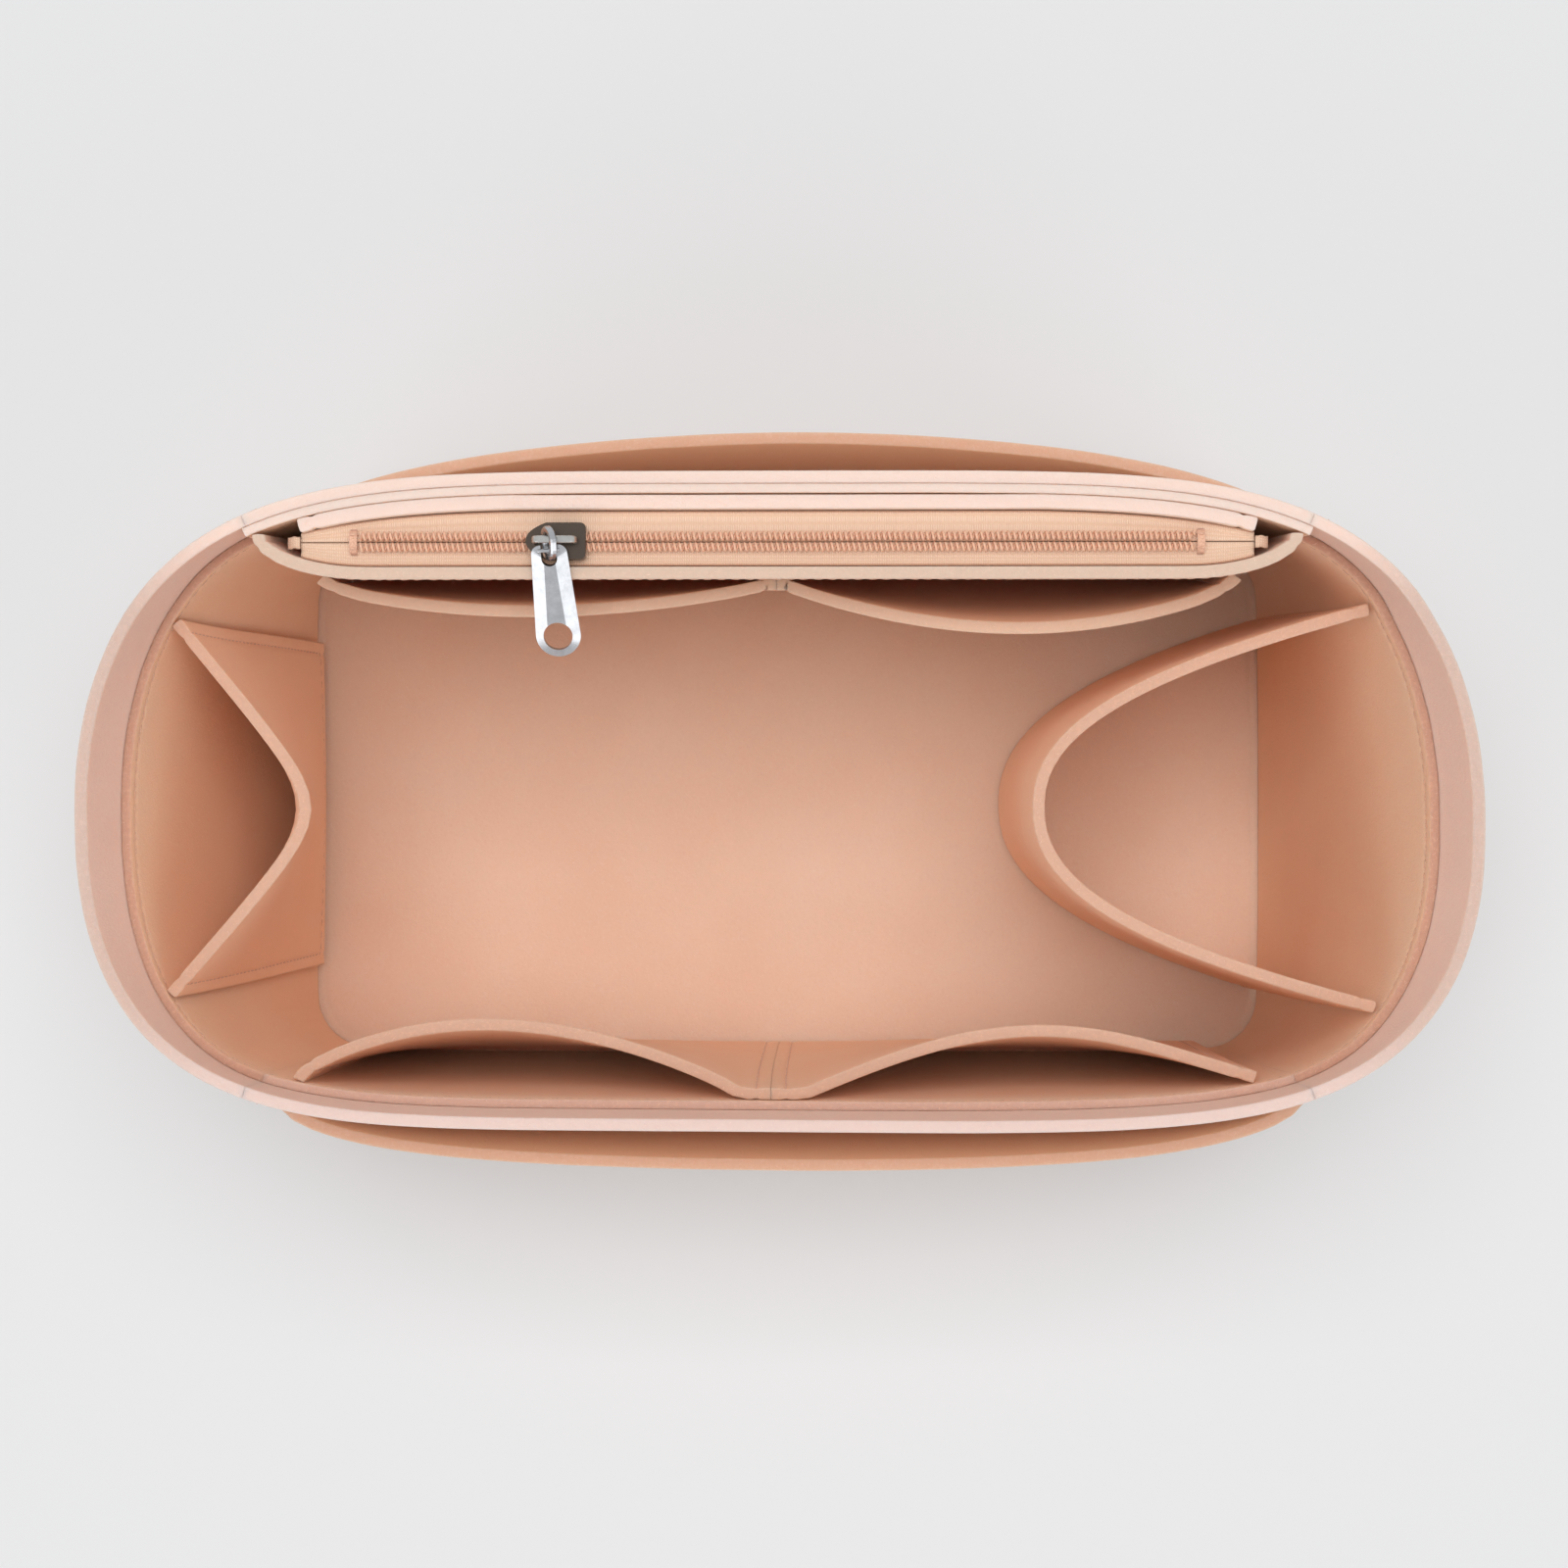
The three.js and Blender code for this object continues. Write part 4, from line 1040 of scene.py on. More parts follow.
# %% The stitches
def stitch_tree():
    tree, add, given = new_tree("stitches", Pitch="Float", Stitch_length="Float", Thread="Float",
                                Lean="Float", Seed="Int", Material="Material")
    curve = add("GeometryNodeMeshToCurve", {"Mesh": given["Geometry"]})
    spots = add("GeometryNodeResampleCurve", {"Curve": curve, "Length": given["Pitch"]},
                mode="LENGTH")
    along = add("FunctionNodeAlignRotationToVector",
                {"Vector": add("GeometryNodeInputTangent")}, axis="X")
    spin = add("FunctionNodeRandomValue", {
        2: maths(add, "MULTIPLY", given["Lean"], -1.0), 3: given["Lean"],
        "Seed": given["Seed"]}, 1, data_type="FLOAT")
    small = add("FunctionNodeEulerToRotation", {"Euler": vector(add, Z=spin)})
    put = add("GeometryNodeInstanceOnPoints", {
        "Points": spots, "Rotation": turned(add, along, small),
        "Instance": add("GeometryNodeMeshUVSphere", {"Segments": 6, "Rings": 5, "Radius": 0.5}),
        "Scale": vector(add, X=given["Stitch length"], Y=given["Thread"], Z=given["Thread"])})
    end_tree(add, given, put, soft=True)
    return tree


def make_thread(name, colour, shade):
    material, add, shader = new_material(name)
    twist = noise(add, object_place(add), 3200, 2, 0.6)
    feed(shader, {"Base Color": ramp(add, twist, (0.35, shade), (0.62, colour)),
                  "Roughness": 0.62, "Specular IOR Level": 0.3, "Sheen Weight": 0.2,
                  "Normal": bumped(add, twist, 0.5, 0.0001)})
    return material


thread_finish = make_thread("thread", srgb(232, 188, 162), srgb(206, 156, 130))
starts = np.cumsum([0] + [len(line) for line in seam_lines])
edges = [(i, i + 1) for a, b in zip(starts[:-1], starts[1:]) for i in range(a, b - 1)]
stitches = new_object("stitches", np.vstack(seam_lines), [], edges)
run_tree(stitches, stitch_tree(), Pitch=3.3 * MM, Stitch_length=2.7 * MM, Thread=0.5 * MM,
         Lean=0.1, Seed=3, Material=thread_finish)
dress(stitches, thread_finish, "organizer", "felt")
print("stitches:", len(stitches.data.polygons), "faces")

# %% [markdown]
# ## The zip
#
# A coil zip is two spirals of nylon wire, each sewn along the edge of a woven tape. The spirals
# mesh in the middle. A spiral follows a rule, so a tree makes it: a straight curve is cut into
# eight points a turn, each point is pushed out by the cosine and sine of its number, and a small
# round profile is swept along. The two sides start half a turn apart.

# %% The coil
COIL_PITCH, COIL_WIRE, COIL_Z, COIL_SHORT = 1.3, 0.34, 158.6, 0.4
COIL_OFF_MIDDLE, COIL_WIDE, COIL_HIGH = 1.31, 0.95, 0.62
POINTS_A_TURN = 8


def coil_tree():
    tree, add, given = new_tree("coil", Half_length="Float", Points="Int", Wire="Float",
                                Half_width="Float", Half_height="Float", Middle="Vector",
                                Phase="Float", Material="Material")
    line = add("GeometryNodeCurvePrimitiveLine", {
        "Start": vector(add, X=maths(add, "MULTIPLY", given["Half length"], -1.0)),
        "End": vector(add, X=given["Half length"])})
    cut = add("GeometryNodeResampleCurve", {"Curve": line, "Count": given["Points"]}, mode="COUNT")
    angle = maths(add, "MULTIPLY_ADD", add("GeometryNodeInputIndex"),
                  2 * math.pi / POINTS_A_TURN, given["Phase"])
    push = vector(add, Y=maths(add, "MULTIPLY", maths(add, "COSINE", angle), given["Half width"]),
                  Z=maths(add, "MULTIPLY", maths(add, "SINE", angle), given["Half height"]))
    moved = add("ShaderNodeVectorMath", {0: push, 1: given["Middle"]}, operation="ADD")
    swept = add("GeometryNodeCurveToMesh", {
        "Curve": add("GeometryNodeSetPosition", {"Geometry": cut, "Offset": moved}),
        "Profile Curve": add("GeometryNodeCurvePrimitiveCircle",
                             {"Resolution": 5, "Radius": given["Wire"]}),
        "Fill Caps": True})
    end_tree(add, given, swept)
    return tree


def make_nylon(name, colour, shade):
    material, add, shader = new_material(name)
    cloud = noise(add, object_place(add), 1500, 2)
    feed(shader, {"Base Color": ramp(add, cloud, (0.3, shade), (0.7, colour)),
                  "Roughness": 0.38, "Specular IOR Level": 0.45,
                  "Subsurface Weight": 0.08, "Subsurface Scale": 0.001})
    return material


nylon_finish = make_nylon("coil_nylon", srgb(236, 190, 162), srgb(222, 172, 144))
coil_points = round(2 * COIL_HALF / COIL_PITCH * POINTS_A_TURN)
shared_coil_tree = coil_tree()
for name, side in (("zip_coil_front", -1), ("zip_coil_back", 1)):
    coil = new_object(name + "_wire", [(0, 0, 0)], [])
    run_tree(coil, shared_coil_tree, Half_length=(COIL_HALF - COIL_SHORT) * MM, Points=coil_points,
             Wire=COIL_WIRE * MM, Half_width=COIL_WIDE * MM, Half_height=COIL_HIGH * MM,
             Middle=(0.0, (ZIP_Y + side * COIL_OFF_MIDDLE) * MM, COIL_Z * MM),
             Phase=math.pi * (side > 0), Material=nylon_finish)
    dress(coil, nylon_finish, "organizer", "coil", name)
    print(coil.name, len(coil.data.polygons), "faces")

# %% [markdown]
# ## Tapes
#
# The tape is a ribbon woven from fine polyester, flat beside the coil and then turned down along
# the felt it is sewn to. It sags a little between the two, which draws the soft lines beside the
# zip. Its weave follows the ribbon, so the finish reads a UV map in metres along and across.

# %% A ribbon from a grid of points
RIBBON = 0.55


def ribbon(name, middle):
    """A closed sheet round a grid of points (rows along, columns across), and its width."""
    square = np.cross(np.gradient(middle, axis=0), np.gradient(middle, axis=1))
    square /= np.linalg.norm(square, axis=-1)[..., None]
    rows, columns = middle.shape[:2]
    faces = [middle + square * RIBBON / 2, middle - square * RIBBON / 2]
    points = np.vstack([face.reshape(-1, 3) for face in faces])
    count = rows * columns
    quads = grid_faces(rows, columns, 0) + grid_faces(rows, columns, count, flipped=True)
    numbers = [r * columns + c for r, c in border(rows, columns)[0]]
    for a, b in zip(numbers, numbers[1:] + numbers[:1]):
        quads.append([b, a, count + a, count + b])
    obj = closed_object(name, points, quads)
    steps = np.linalg.norm(np.diff(middle, axis=1), axis=2)
    v = np.tile(np.concatenate([[0], np.cumsum(steps[0])]), rows * 2) * MM
    u = np.tile(np.repeat(middle[:, 0, 0], columns), 2) * MM
    uv = obj.data.uv_layers.new(name="UVMap")
    numbers = np.empty(len(obj.data.loops), dtype=np.int32)
    obj.data.loops.foreach_get("vertex_index", numbers)
    uv.data.foreach_set("uv", np.stack([u[numbers], v[numbers]], -1).ravel())
    return obj, float(steps.sum(axis=1).max())


print("ribbons are", RIBBON, "mm thick")

# %% The woven tapes
TAPE_COLUMNS, TAPE_APART, TAPE_BEND, CLOTH_GAP = 190, 0.1, 0.6, 0.15
FLAT_SHARES = (0, 0.12, 0.26, 0.38, 0.5, 0.62, 0.74, 0.84)
BEND_ANGLES = (0.35, 0.8, 1.25, math.pi / 2)
HUNG_DEPTHS = (3, 5, 7, TAPE_TURN_DOWN - 0.2)
WEAVE_PITCH = 0.55


def zip_front_back(x, z):
    step = np.where(x < 0, -FELT, FELT)
    slope = (zip_front_y(x, z) - zip_front_y(x - step, z)) / FELT
    return zip_front_y(x, z) + FELT * np.hypot(1, slope)


def zip_back_front(x, z):
    return zip_back_y(wall_point(back_share(x, z), z, POCKET_INSET)[..., 1], z) - BACK_PANEL


def tape_grid(side, felt_y):
    x = np.linspace(-TAPE_HALF, TAPE_HALF, TAPE_COLUMNS)
    top = TAPE_TOP - TAPE_THICKNESS / 2
    off_felt = side * (CLOTH_GAP + TAPE_THICKNESS / 2)
    inner, outer = ZIP_Y + side * TAPE_APART, felt_y(x, np.full(x.shape, top)) - off_felt
    sag = 0.35 + 0.1 * np.sin(x / 11) + 0.06 * np.sin(x / 4.3 + side)
    rows = []
    for t in FLAT_SHARES:
        hollow = np.sin(np.pi * np.clip((t - 0.2) / 0.72, 0, 1)) ** 2
        rows.append((mix(inner, outer - side * TAPE_BEND, t / FLAT_SHARES[-1]), top - sag * hollow))
    for angle in BEND_ANGLES:
        rows.append((outer - side * TAPE_BEND * (1 - math.sin(angle)),
                     top - TAPE_BEND * (1 - np.cos(angle)) + 0 * x))
    for depth in HUNG_DEPTHS:
        z = np.full(x.shape, TAPE_TOP - depth)
        rows.append((felt_y(x, z) - off_felt, z))
    return np.stack([np.stack([x, y, z], -1) for y, z in rows], axis=1)


def make_woven(name, colour, shade, pitch):
    """Two waves across each other make the weave, read from the UV map in metres."""
    material, add, shader = new_material(name)
    uv = add("ShaderNodeUVMap", uv_map="UVMap")
    weave = maths(add, "MULTIPLY", *(
        add("ShaderNodeTexWave", {"Vector": uv, "Scale": math.pi / 10 / (pitch * MM),
                                  "Distortion": 0.6, "Detail": 1.0}, "Fac", bands_direction=way)
        for way in "XY"))
    fuzz = noise(add, uv, 1800, 3, 0.65)
    both = maths(add, "ADD", weave, maths(add, "MULTIPLY", fuzz, 0.5))
    feed(shader, {"Base Color": ramp(add, both, (0.15, shade), (0.75, colour)),
                  "Roughness": 0.8, "Specular IOR Level": 0.2, "Sheen Weight": 0.15,
                  "Normal": bumped(add, both, 0.6, 0.00025)})
    return material


tape_finish = make_woven("zip_tape", srgb(235, 205, 182), srgb(219, 182, 154), WEAVE_PITCH)
for name, side, felt_y in (("zip_tape_front", -1, zip_front_back),
                           ("zip_tape_back", 1, zip_back_front)):
    tape, across = ribbon(name + "_cloth", tape_grid(side, felt_y))
    dress(tape, tape_finish, "organizer", "tape", name)
    print(tape.name, "is", round(across, 1), "mm wide")

# %% [markdown]
# At each end of the zip a bar of thread stops the slider, and the tape's end is turned down into
# the pocket. The bar is a handful of long threads laid side by side with two bound over them.
# Threads are tubes, so one helper sweeps a ring of points along a line for both.

# %% Tubes along lines
def tube(points, radii, sides=8):
    """Points and faces of a closed tube along a line."""
    points = np.asarray(points, float)
    along = np.gradient(points, axis=0)
    along /= np.linalg.norm(along, axis=1)[:, None]
    helper = np.eye(3)[np.abs(along).max(axis=0).argmin()]
    first = np.cross(along, helper)
    first /= np.linalg.norm(first, axis=1)[:, None]
    second = np.cross(along, first)
    angles = 2 * np.pi * np.arange(sides) / sides
    rings = [p + r * (np.cos(angles)[:, None] * a + np.sin(angles)[:, None] * b)
             for p, r, a, b in zip(points, radii, first, second)]
    faces = ring_quads(len(points), sides)
    ends, last = len(points) * sides, (len(points) - 1) * sides
    for i in range(sides):
        j = (i + 1) % sides
        faces += [[j, i, ends], [last + i, last + j, ends + 1]]
    return np.vstack(rings + [points[:1], points[-1:]]), faces


def merged(parts):
    verts, faces, start = [], [], 0
    for points, quads in parts:
        if signed_volume(points, quads) < 0:
            quads = [list(reversed(q)) for q in quads]
        verts.append(points)
        faces += [[start + i for i in q] for q in quads]
        start += len(points)
    return np.vstack(verts), faces


print("a tube of 2 rings has", len(tube([(0, 0, 0), (1, 0, 0)], [1, 1])[1]), "faces")

# %% Bars of thread
BAR_LENGTH, BAR_WIDTH, BAR_LOW, BAR_HIGH, BAR_OFF_COIL = 1.7, 6.0, 157.4, 160.0, 1.2
LONG_THREADS, LONG_RADIUS, BOUND_RADIUS = 6, 0.26, 0.24


def arched(t, share, lift):
    return BAR_LOW + (BAR_HIGH - BAR_LOW) * share * (1 - t ** 4) + lift


def thread_bar(x):
    parts = []
    t = np.linspace(-1, 1, 9)
    for i in range(LONG_THREADS):
        place_x = x + BAR_LENGTH * (i / (LONG_THREADS - 1) - 0.5) * 0.8
        line = [place_x + 0 * t, ZIP_Y + t * BAR_WIDTH / 2, arched(t, 0.62, 0.2)]
        parts.append(tube(np.stack(line, -1), LONG_RADIUS * (1 - 0.6 * t ** 6) + 0.02))
    t = np.linspace(-1, 1, 7)
    for y in (-0.28, 0.28):
        line = [x + t * BAR_LENGTH / 2, ZIP_Y + y * BAR_WIDTH + 0 * t, arched(t, 0.8, 0.25)]
        parts.append(tube(np.stack(line, -1), BOUND_RADIUS + 0 * t))
    return merged(parts)


for name, side in (("zip_end_tack_left", -1), ("zip_end_tack_right", 1)):
    bar = closed_object(name + "_thread", *thread_bar(side * (COIL_HALF + BAR_OFF_COIL)))
    dress(bar, thread_finish, "organizer", "tape", name)
    print(bar.name, len(bar.data.polygons), "faces")

# %% Folded tape ends
FOLD_RADIUS, FOLD_HALF, FOLD_DROP, FOLD_WAVE, FOLD_ROUND = 3.3, 1.4, 0.4, 0.12, 0.18

for name, side in (("zip_tape_fold_left", -1), ("zip_tape_fold_right", 1)):
    run = [(TAPE_HALF + SEAT_GAP + FOLD_RADIUS * math.sin(a),
            TAPE_TOP - FOLD_DROP + FOLD_RADIUS * (math.cos(a) - 1))
           for a in np.linspace(0, np.pi / 2, 10)]
    run += [(run[-1][0] + 0.15 * i, run[-1][1] - 1.1 * i) for i in (1, 2, 3)]
    grid = np.array([[(side * x, ZIP_Y + y + FOLD_WAVE * math.sin(3 * x),
                       z - FOLD_ROUND * (y / FOLD_HALF) ** 2)
                      for y in np.linspace(-FOLD_HALF, FOLD_HALF, 7)] for x, z in run])
    fold, width = ribbon(name + "_cloth", grid)
    dress(fold, tape_finish, "organizer", "tape", name)
    print(fold.name, "is", round(width, 1), "mm wide")

# %% [markdown]
# ## Metal
#
# The slider is a small casting, plated and polished. Its own solid has the right shape but sharp
# arrises, so a copy of it is cleaned of doubled points and given a small bevel, which catches a
# thin bright line as real castings do. The link keeps its solid and shares the pull's finish.

# %% The polished finish
CROWN_FOOT, PAINTED_SHADE_RUN = 161.6, 1.2


def make_metal(name, colour, shade, roughness, low=None):
    """low is a painted shade: a darker colour for the casting below its crown, standing in for the
    shade that falls there.
    """
    material, add, shader = new_material(name)
    place = object_place(add)
    cloud = noise(add, place, 420, 3, 0.6)
    scratches = noise(add, stretched(add, place, (5200, 240, 2600), (0, 0, 0.15)), 1, 3, 0.6)
    tone = ramp(add, cloud, (0.3, shade), (0.65, colour))
    if low is not None:
        height = add("ShaderNodeSeparateXYZ", {0: place}, "Z")
        out_of_painted_shade = add("ShaderNodeMapRange", {"Value": height, "From Min": CROWN_FOOT * MM,
                                            "From Max": (CROWN_FOOT + PAINTED_SHADE_RUN) * MM})
        tone = mix_colour(add, out_of_painted_shade, low, tone)
    feed(shader, {"Base Color": tone, "Metallic": 1.0,
                  "Roughness": maths(add, "MULTIPLY_ADD", scratches, 0.12, roughness),
                  "Normal": bumped(add, scratches, 0.12, 0.00004)})
    return material


metal_finish = make_metal("plated_metal", srgb(190, 192, 196), srgb(176, 178, 182), 0.18)
# The casting is painted darker below its crown: painted shade.
casting_finish = make_metal("casting_metal", srgb(196, 196, 194), srgb(178, 178, 176), 0.22,
                            srgb(96, 86, 78))
print("metal finishes:", metal_finish.name, casting_finish.name)

# %% The slider and its link
SAME_POINT, SAME_PLANE, CASTING_BEVEL = 0.00001, 1.5, 0.2


def shaped(obj, kind, **settings):
    """Adds one modifier and makes the result a plain mesh."""
    modifier = obj.modifiers.new(kind.lower(), kind)
    for key, value in settings.items():
        setattr(modifier, key, value)
    settle(obj)


def bevelled(obj, width):
    shaped(obj, "BEVEL", width=width * MM, segments=2, limit_method="ANGLE",
           angle_limit=math.radians(40), harden_normals=False)


def cleaned_copy(name, node):
    obj = bpy.data.objects.new(name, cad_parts[node].data.copy())
    scene.collection.objects.link(obj)
    shell = bmesh.new()
    shell.from_mesh(obj.data)
    bmesh.ops.remove_doubles(shell, verts=shell.verts, dist=SAME_POINT)
    bmesh.ops.dissolve_limit(shell, angle_limit=math.radians(SAME_PLANE), verts=shell.verts,
                             edges=shell.edges)
    shell.to_mesh(obj.data)
    shell.free()
    return obj


slider = cleaned_copy("slider_casting", "slider_body")
bevelled(slider, CASTING_BEVEL)
dress(slider, casting_finish, "slider", "steel", "slider_body")
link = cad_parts["pull_link"]
link.data.materials.clear()
link.data.materials.append(metal_finish)
print("slider:", len(slider.data.polygons), "faces after its bevel")

# %% [markdown]
# ## The pull
#
# The pull is a slab with wide bevels all round: a flat stripe down its middle and two sloping
# sides that mirror the lamps. It widens to a round end with a finger hole. Its head is a fork with
# a pin, and the link's loop sits round the pin. The slab is made from rings of its outline, drawn
# in towards the top. Slot and hole are cut with the Boolean modifier.

# %% The pull's outline and rings
PULL_TOP, PULL_LENGTH = -2.9, 28
PULL_HEAD, PULL_END, PULL_THICKNESS = 8.6, 10.8, 1.6
PULL_CORNER, PULL_SLOPE, PULL_RIM, UNDER_BEVEL = 2.2, 3.0, 0.5, 0.35
HOLE_RADIUS, HOLE_RIM, SLOT_RADIUS, SLOT_X, CUTTER = 3.5, 1.9, 1.9, 0.2, 3
PIN_X, PIN_HALF, PIN_RADIUS, PULL_BEVEL = -1.62, 2.6, 0.5, 0.12
PULL_TIP = PULL_TOP + PULL_LENGTH


def arc(centre_x, centre_y, radius, start, turn, steps):
    angles = [start + turn * k / steps for k in range(steps + 1)]
    return [(centre_x + radius * math.cos(a), centre_y + radius * math.sin(a)) for a in angles]


def pull_outline(inset):
    """Points of the outline drawn in by an inset; x runs down the pull, y across it."""
    head, end = PULL_HEAD / 2 - inset, PULL_END / 2 - inset
    corner = max(PULL_CORNER - inset, 0.25)
    corner_x = PULL_TOP + inset + corner
    return (arc(corner_x, corner - head, corner, math.pi, math.pi / 2, 8)
            + arc(PULL_TIP - PULL_END / 2, 0, end, -math.pi / 2, math.pi, 28)
            + arc(corner_x, head - corner, corner, math.pi / 2, math.pi / 2, 8))


def at_height(outline, z):
    return [(x, y, z) for x, y in outline]


def stacked(rings):
    """A closed solid from rings of points with like counts, lowest first."""
    count, levels = len(rings[0]), len(rings)
    faces = [list(range(count))[::-1], list(range((levels - 1) * count, levels * count))]
    return np.array([point for ring in rings for point in ring]), faces + ring_quads(levels, count)


def joined(obj, other, operation):
    shaped(obj, "BOOLEAN", operation=operation, object=other, solver="EXACT")
    bpy.data.objects.remove(other)


def cut_away(obj, outline):
    """Cuts a hole of this outline right through."""
    rings = [at_height(outline, -CUTTER), at_height(outline, CUTTER)]
    joined(obj, closed_object("cutter", *stacked(rings)), "DIFFERENCE")


half_thick = PULL_THICKNESS / 2
levels = [(UNDER_BEVEL, -half_thick), (0, UNDER_BEVEL - half_thick), (0, PULL_RIM - half_thick),
          (PULL_SLOPE, half_thick)]
slab = stacked([at_height(pull_outline(inset), z) for inset, z in levels])
pull = closed_object("pull_slab", *slab, smooth_shading=False)
cut_away(pull, arc(PULL_TIP - HOLE_RIM - HOLE_RADIUS, 0, HOLE_RADIUS, 0, 2 * math.pi, 40)[:-1])
slot_foot = PULL_TOP - CUTTER
cut_away(pull, arc(SLOT_X, 0, SLOT_RADIUS, -math.pi / 2, math.pi, 14)
         + [(slot_foot, SLOT_RADIUS), (slot_foot, -SLOT_RADIUS)])
pin_line = [(PIN_X, y, 0) for y in np.linspace(-PIN_HALF, PIN_HALF, 5)]
joined(pull, closed_object("pin", *tube(pin_line, [PIN_RADIUS] * 5, 16)), "UNION")
bevelled(pull, PULL_BEVEL)
print("pull:", len(pull.data.polygons), "faces")

# %% Hang the pull on the link
LINK_SHIFT, BAR_HEIGHT, LINK_REACH = 1.2, 165.3, 4.4
SLIDER_X, DROOP, TURN = -52.5, 22, 4
out_of_outline = Matrix(((0, 1, 0, 0), (-1, 0, 0, 0), (0, 0, 1, 0), (0, 0, 0, 1)))
hang = (Matrix.Translation(Vector((SLIDER_X - LINK_SHIFT, ZIP_Y, BAR_HEIGHT)) * MM)
        @ Matrix.Rotation(math.radians(DROOP), 4, "X")
        @ Matrix.Translation(Vector((0, -LINK_REACH, 0)) * MM)
        @ Matrix.Rotation(math.radians(TURN), 4, "Z")
        @ out_of_outline)
pull.data.transform(hang)
dress(pull, metal_finish, "pull", "steel", "pull_tab")
low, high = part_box("pull_tab")
print("solid pull in mm:", [round(v / MM, 1) for v in (*low, *high)])
shown = np.array([corner.co for corner in pull.data.vertices]) / MM
print("slab in mm:", shown.min(axis=0).round(1), shown.max(axis=0).round(1))

# %% [markdown]
# ## Loose fibres
#
# Where felt is cut, and here and there on its faces, single fibres stand out. They are too fine to
# count one by one, but they soften every edge. A tree scatters points on strips along the cut
# edges and on the faces, and stands a thin bent cone on each, leaning at random. The seed is
# fixed, so every run has the same hairs.

# %% Strips that the fibres grow on
def edge_strip(made):
    """The rounded top of a panel, from one face over the cut to the other."""
    first, second = made["faces"]
    return np.stack([first[-3], first[-1], second[-1], second[-3]])


def strip_object(name, grids):
    verts, faces, start = [], [], 0
    for grid in grids:
        verts.append(grid.reshape(-1, 3))
        faces += grid_faces(*grid.shape[:2], start)
        start += len(verts[-1])
    return new_object(name, np.vstack(verts), faces)


print("strips along", len(panels), "panels")

# %% The fibres
HALF_TURN = 3.14
SMALLEST, LARGEST = 0.45, 1.3


def fibre_tree():
    tree, add, given = new_tree("fibres", Per_square_metre="Float", Length="Float", Width="Float",
                                Bend="Float", Lean="Float", Seed="Int", Material="Material")
    spots = add("GeometryNodeDistributePointsOnFaces", {
        "Mesh": given["Geometry"], "Density": given["Per square metre"], "Seed": given["Seed"]},
        distribute_method="RANDOM").node.outputs
    hair = add("GeometryNodeMeshCone", {
        "Vertices": 3, "Side Segments": 4, "Radius Top": 0.0, "Radius Bottom": given["Width"],
        "Depth": given["Length"]}, "Mesh", fill_type="NONE")
    up = add("ShaderNodeSeparateXYZ", {0: add("GeometryNodeInputPosition")}, "Z")
    bent = maths(add, "MULTIPLY", maths(add, "MULTIPLY", up, up), given["Bend"])
    curved = add("GeometryNodeSetPosition", {"Geometry": hair, "Offset": vector(add, X=bent)})
    less, more = maths(add, "MULTIPLY", given["Lean"], -1.0), given["Lean"]
    lean = add("FunctionNodeRandomValue", {
        0: vector(add, X=less, Y=less, Z=-HALF_TURN), 1: vector(add, X=more, Y=more, Z=HALF_TURN),
        "Seed": given["Seed"]}, data_type="FLOAT_VECTOR")
    leaning = add("FunctionNodeEulerToRotation", {"Euler": lean})
    size = add("FunctionNodeRandomValue", {2: SMALLEST, 3: LARGEST}, 1, data_type="FLOAT")
    end_tree(add, given, add("GeometryNodeInstanceOnPoints", {
        "Points": spots["Points"], "Instance": curved, "Scale": size,
        "Rotation": turned(add, spots["Rotation"], leaning)}))
    return tree


fibre_finish = make_thread("fibre", srgb(250, 226, 210), srgb(238, 204, 184))
shared_fibre_tree = fibre_tree()
cut_strips = [edge_strip(made) for made in panels.values()]
whole_faces = [made["faces"][side][::2, ::2] for made in panels.values() for side in (0, 1)]
for name, grids, settings in (
        ("edge_fibres", cut_strips, dict(Per_square_metre=420000.0, Length=1.1 * MM,
                                         Width=0.03 * MM, Bend=260.0, Lean=1.1, Seed=5)),
        ("face_fibres", whole_faces, dict(Per_square_metre=9000.0, Length=1.2 * MM,
                                          Width=0.022 * MM, Bend=420.0, Lean=1.35, Seed=9))):
    fibres = strip_object(name, grids)
    run_tree(fibres, shared_fibre_tree, **settings, Material=fibre_finish)
    dress(fibres, fibre_finish, "organizer", "felt")
    print(name, len(fibres.data.polygons), "faces")

# %% [markdown]
# ## Floor, light and camera
#
# The photograph looks almost straight down from about 0.8 m. The pale ground has no pattern.
# One wide lamp above and two weaker ones at the sides give soft light, and the sky fills in.
# As the camera and the metal see them, the sky is the plain backdrop, and the floor fades to it
# where the lamps no longer reach. Light on the object still comes from the lit floor and sky.

# %% Ground and sky
BACKDROP = srgb(235, 235, 235)
FADE_START, FADE_END = 0.24, 0.6
GROUND_HALF, GROUND_DROP, SKY = 4.0, 0.0004, 0.5


def seen_ray(add):
    """1 for what the camera sees, straight or in the metal, and 0 for light on the object."""
    path = add("ShaderNodeLightPath").node.outputs
    mirrored = maths(add, "MAXIMUM", path["Is Glossy Ray"], path["Is Transmission Ray"])
    return maths(add, "MAXIMUM", path["Is Camera Ray"], mirrored)


def shown_plain(add, share, lit, colour):
    """Mixes the lit surface with a plain colour that only seen rays meet."""
    return add("ShaderNodeMixShader", {"Fac": share, 1: lit, 2: colour})


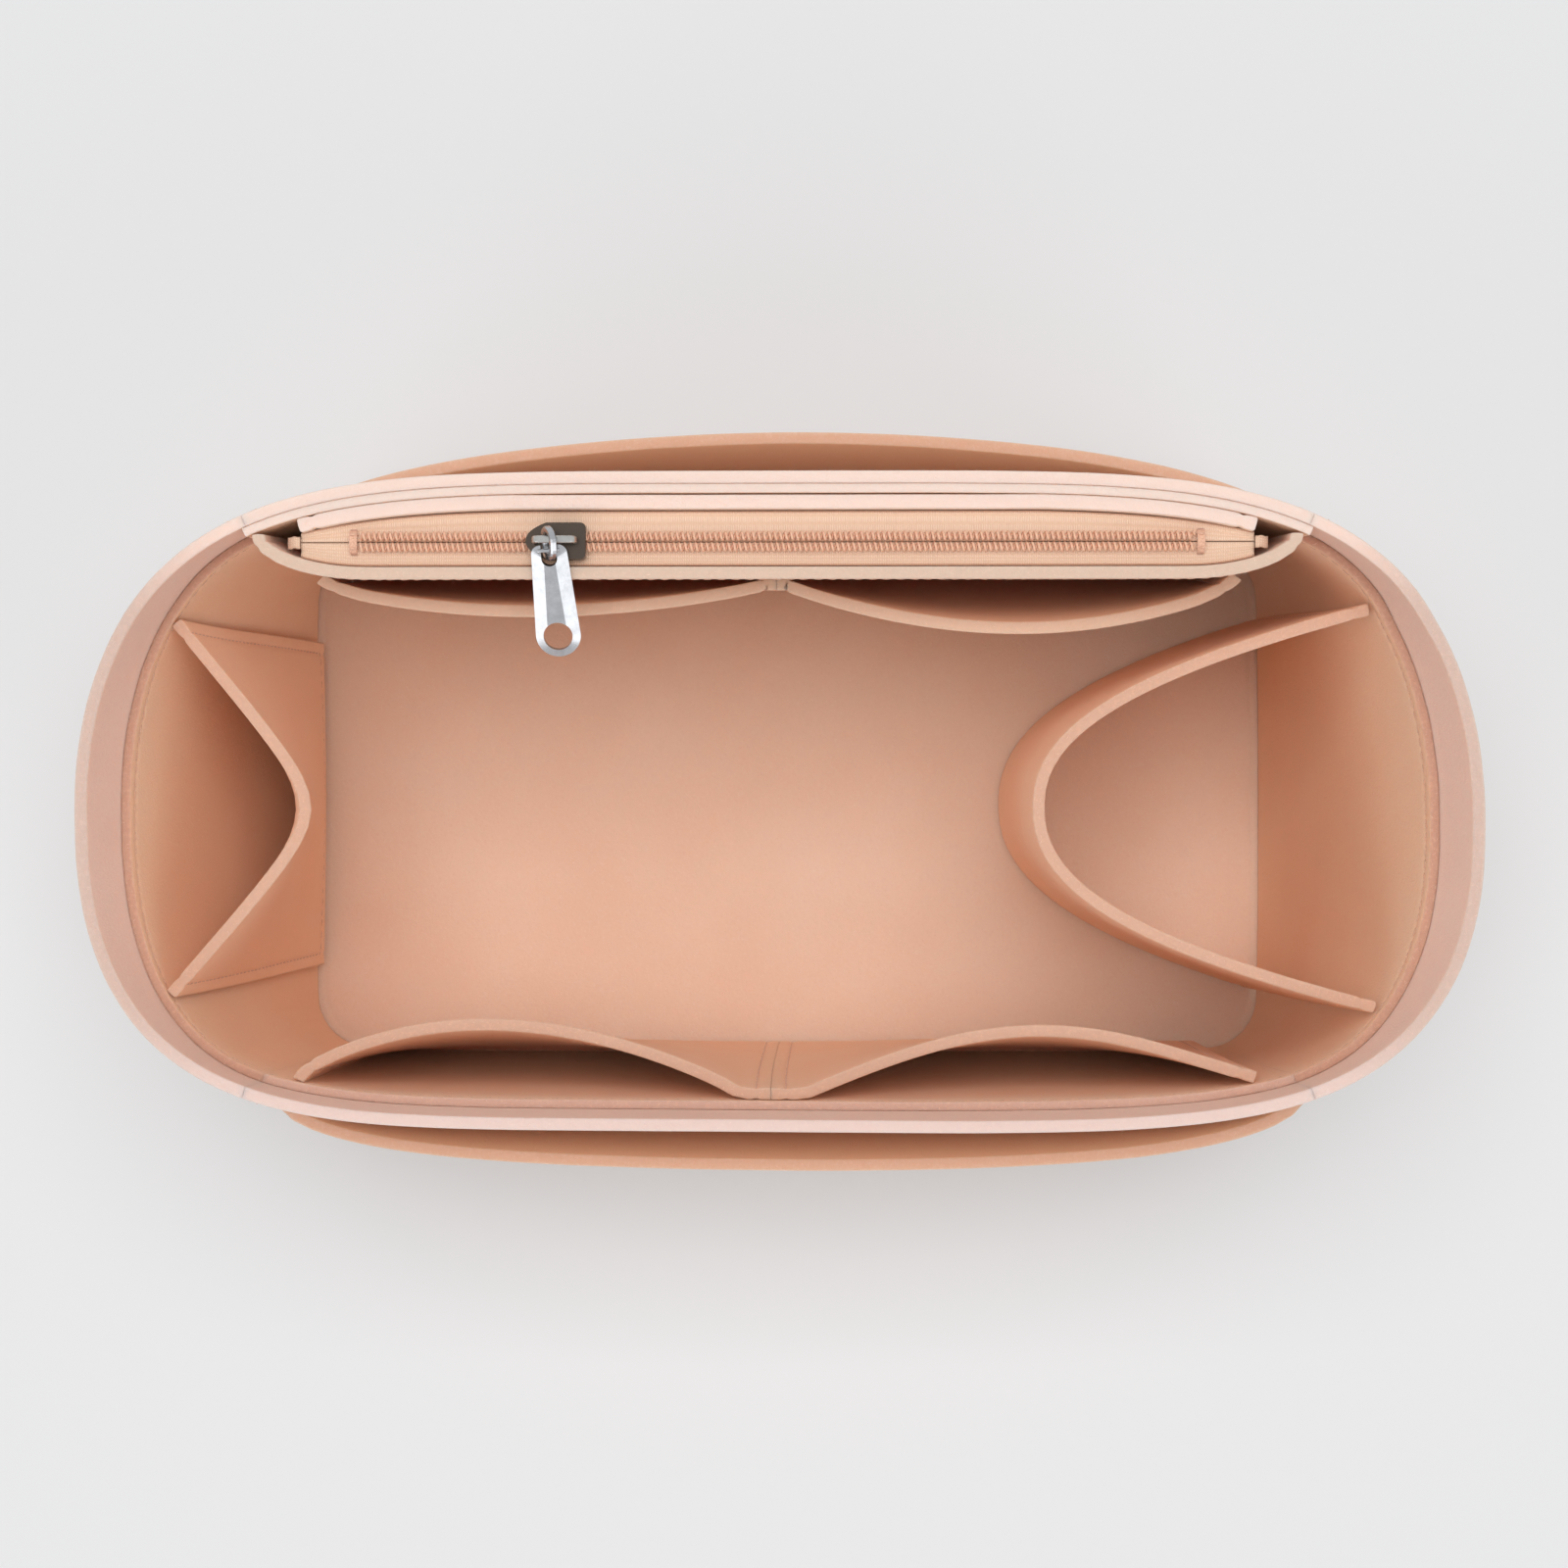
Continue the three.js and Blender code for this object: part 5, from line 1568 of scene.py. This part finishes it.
def make_ground():
    corners = GROUND_HALF / MM * np.array([(-1, -1, 0), (1, -1, 0), (1, 1, 0), (-1, 1, 0)])
    obj = new_object("ground", corners, [(0, 1, 2, 3)], smooth_shading=False)
    material, add, shader = new_material("ground")
    feed(shader, {"Base Color": srgb(221, 222, 223), "Roughness": 0.9, "Specular IOR Level": 0.0})
    distance = add("ShaderNodeVectorMath", {0: object_place(add)}, "Value", operation="LENGTH")
    fade = add("ShaderNodeMapRange", {"Value": distance, "From Min": FADE_START,
                                      "From Max": FADE_END}, interpolation_type="SMOOTHSTEP")
    plain = add("ShaderNodeEmission", {"Color": BACKDROP})
    output = next(node for node in material.node_tree.nodes if node.type == "OUTPUT_MATERIAL")
    feed(output, {"Surface": shown_plain(add, maths(add, "MULTIPLY", fade, seen_ray(add)),
                                         shader.outputs["BSDF"], plain)})
    obj.data.materials.append(material)
    obj.location.z = -GROUND_DROP


def make_sky():
    scene.world = bpy.data.worlds.new("studio")
    scene.world.use_nodes = True
    scene.world.node_tree.nodes.clear()
    add = adder(scene.world.node_tree)
    light = add("ShaderNodeBackground", {"Color": WHITE, "Strength": SKY})
    seen = add("ShaderNodeBackground", {"Color": BACKDROP})
    add("ShaderNodeOutputWorld", {"Surface": shown_plain(add, seen_ray(add), light, seen)})


make_ground()
make_sky()
print("the floor fades from", FADE_START, "to", FADE_END, "m")

# %% Lamps and camera
CAMERA_X, CAMERA_Y, CAMERA_Z = 0.0123, 0.0043, 0.800
AIM_X, AIM_Z = 0.0019, 0.160


def make_lamp(name, place, size, power):
    data = bpy.data.lights.new(name, "AREA")
    data.shape = "RECTANGLE"
    data.size, data.size_y = size
    data.energy = power
    lamp = bpy.data.objects.new(name, data)
    lamp.location = place
    lamp.rotation_euler = (Vector((0, 0, 0.1)) - Vector(place)).to_track_quat("-Z", "Y").to_euler()
    scene.collection.objects.link(lamp)
    return lamp


make_lamp("top_lamp", (0.0, 0.34, 1.85), (1.2, 1.0), 20).visible_glossy = False
make_lamp("left_lamp", (-0.9, -0.8, 0.9), (0.8, 0.7), 2.6)
make_lamp("right_lamp", (0.85, -0.8, 0.95), (0.8, 0.7), 2.6)

camera_data = bpy.data.cameras.new("camera")
camera_data.lens, camera_data.sensor_width = 61.7, 36
camera = bpy.data.objects.new("camera", camera_data)
camera.location = (CAMERA_X, CAMERA_Y, CAMERA_Z)
camera.rotation_euler = (0, math.atan2(CAMERA_X - AIM_X, CAMERA_Z - AIM_Z), 0)
scene.collection.objects.link(camera)
scene.camera = camera
scene.view_settings.view_transform = "Standard"
print("camera turned by", [round(math.degrees(a), 2) for a in camera.rotation_euler])
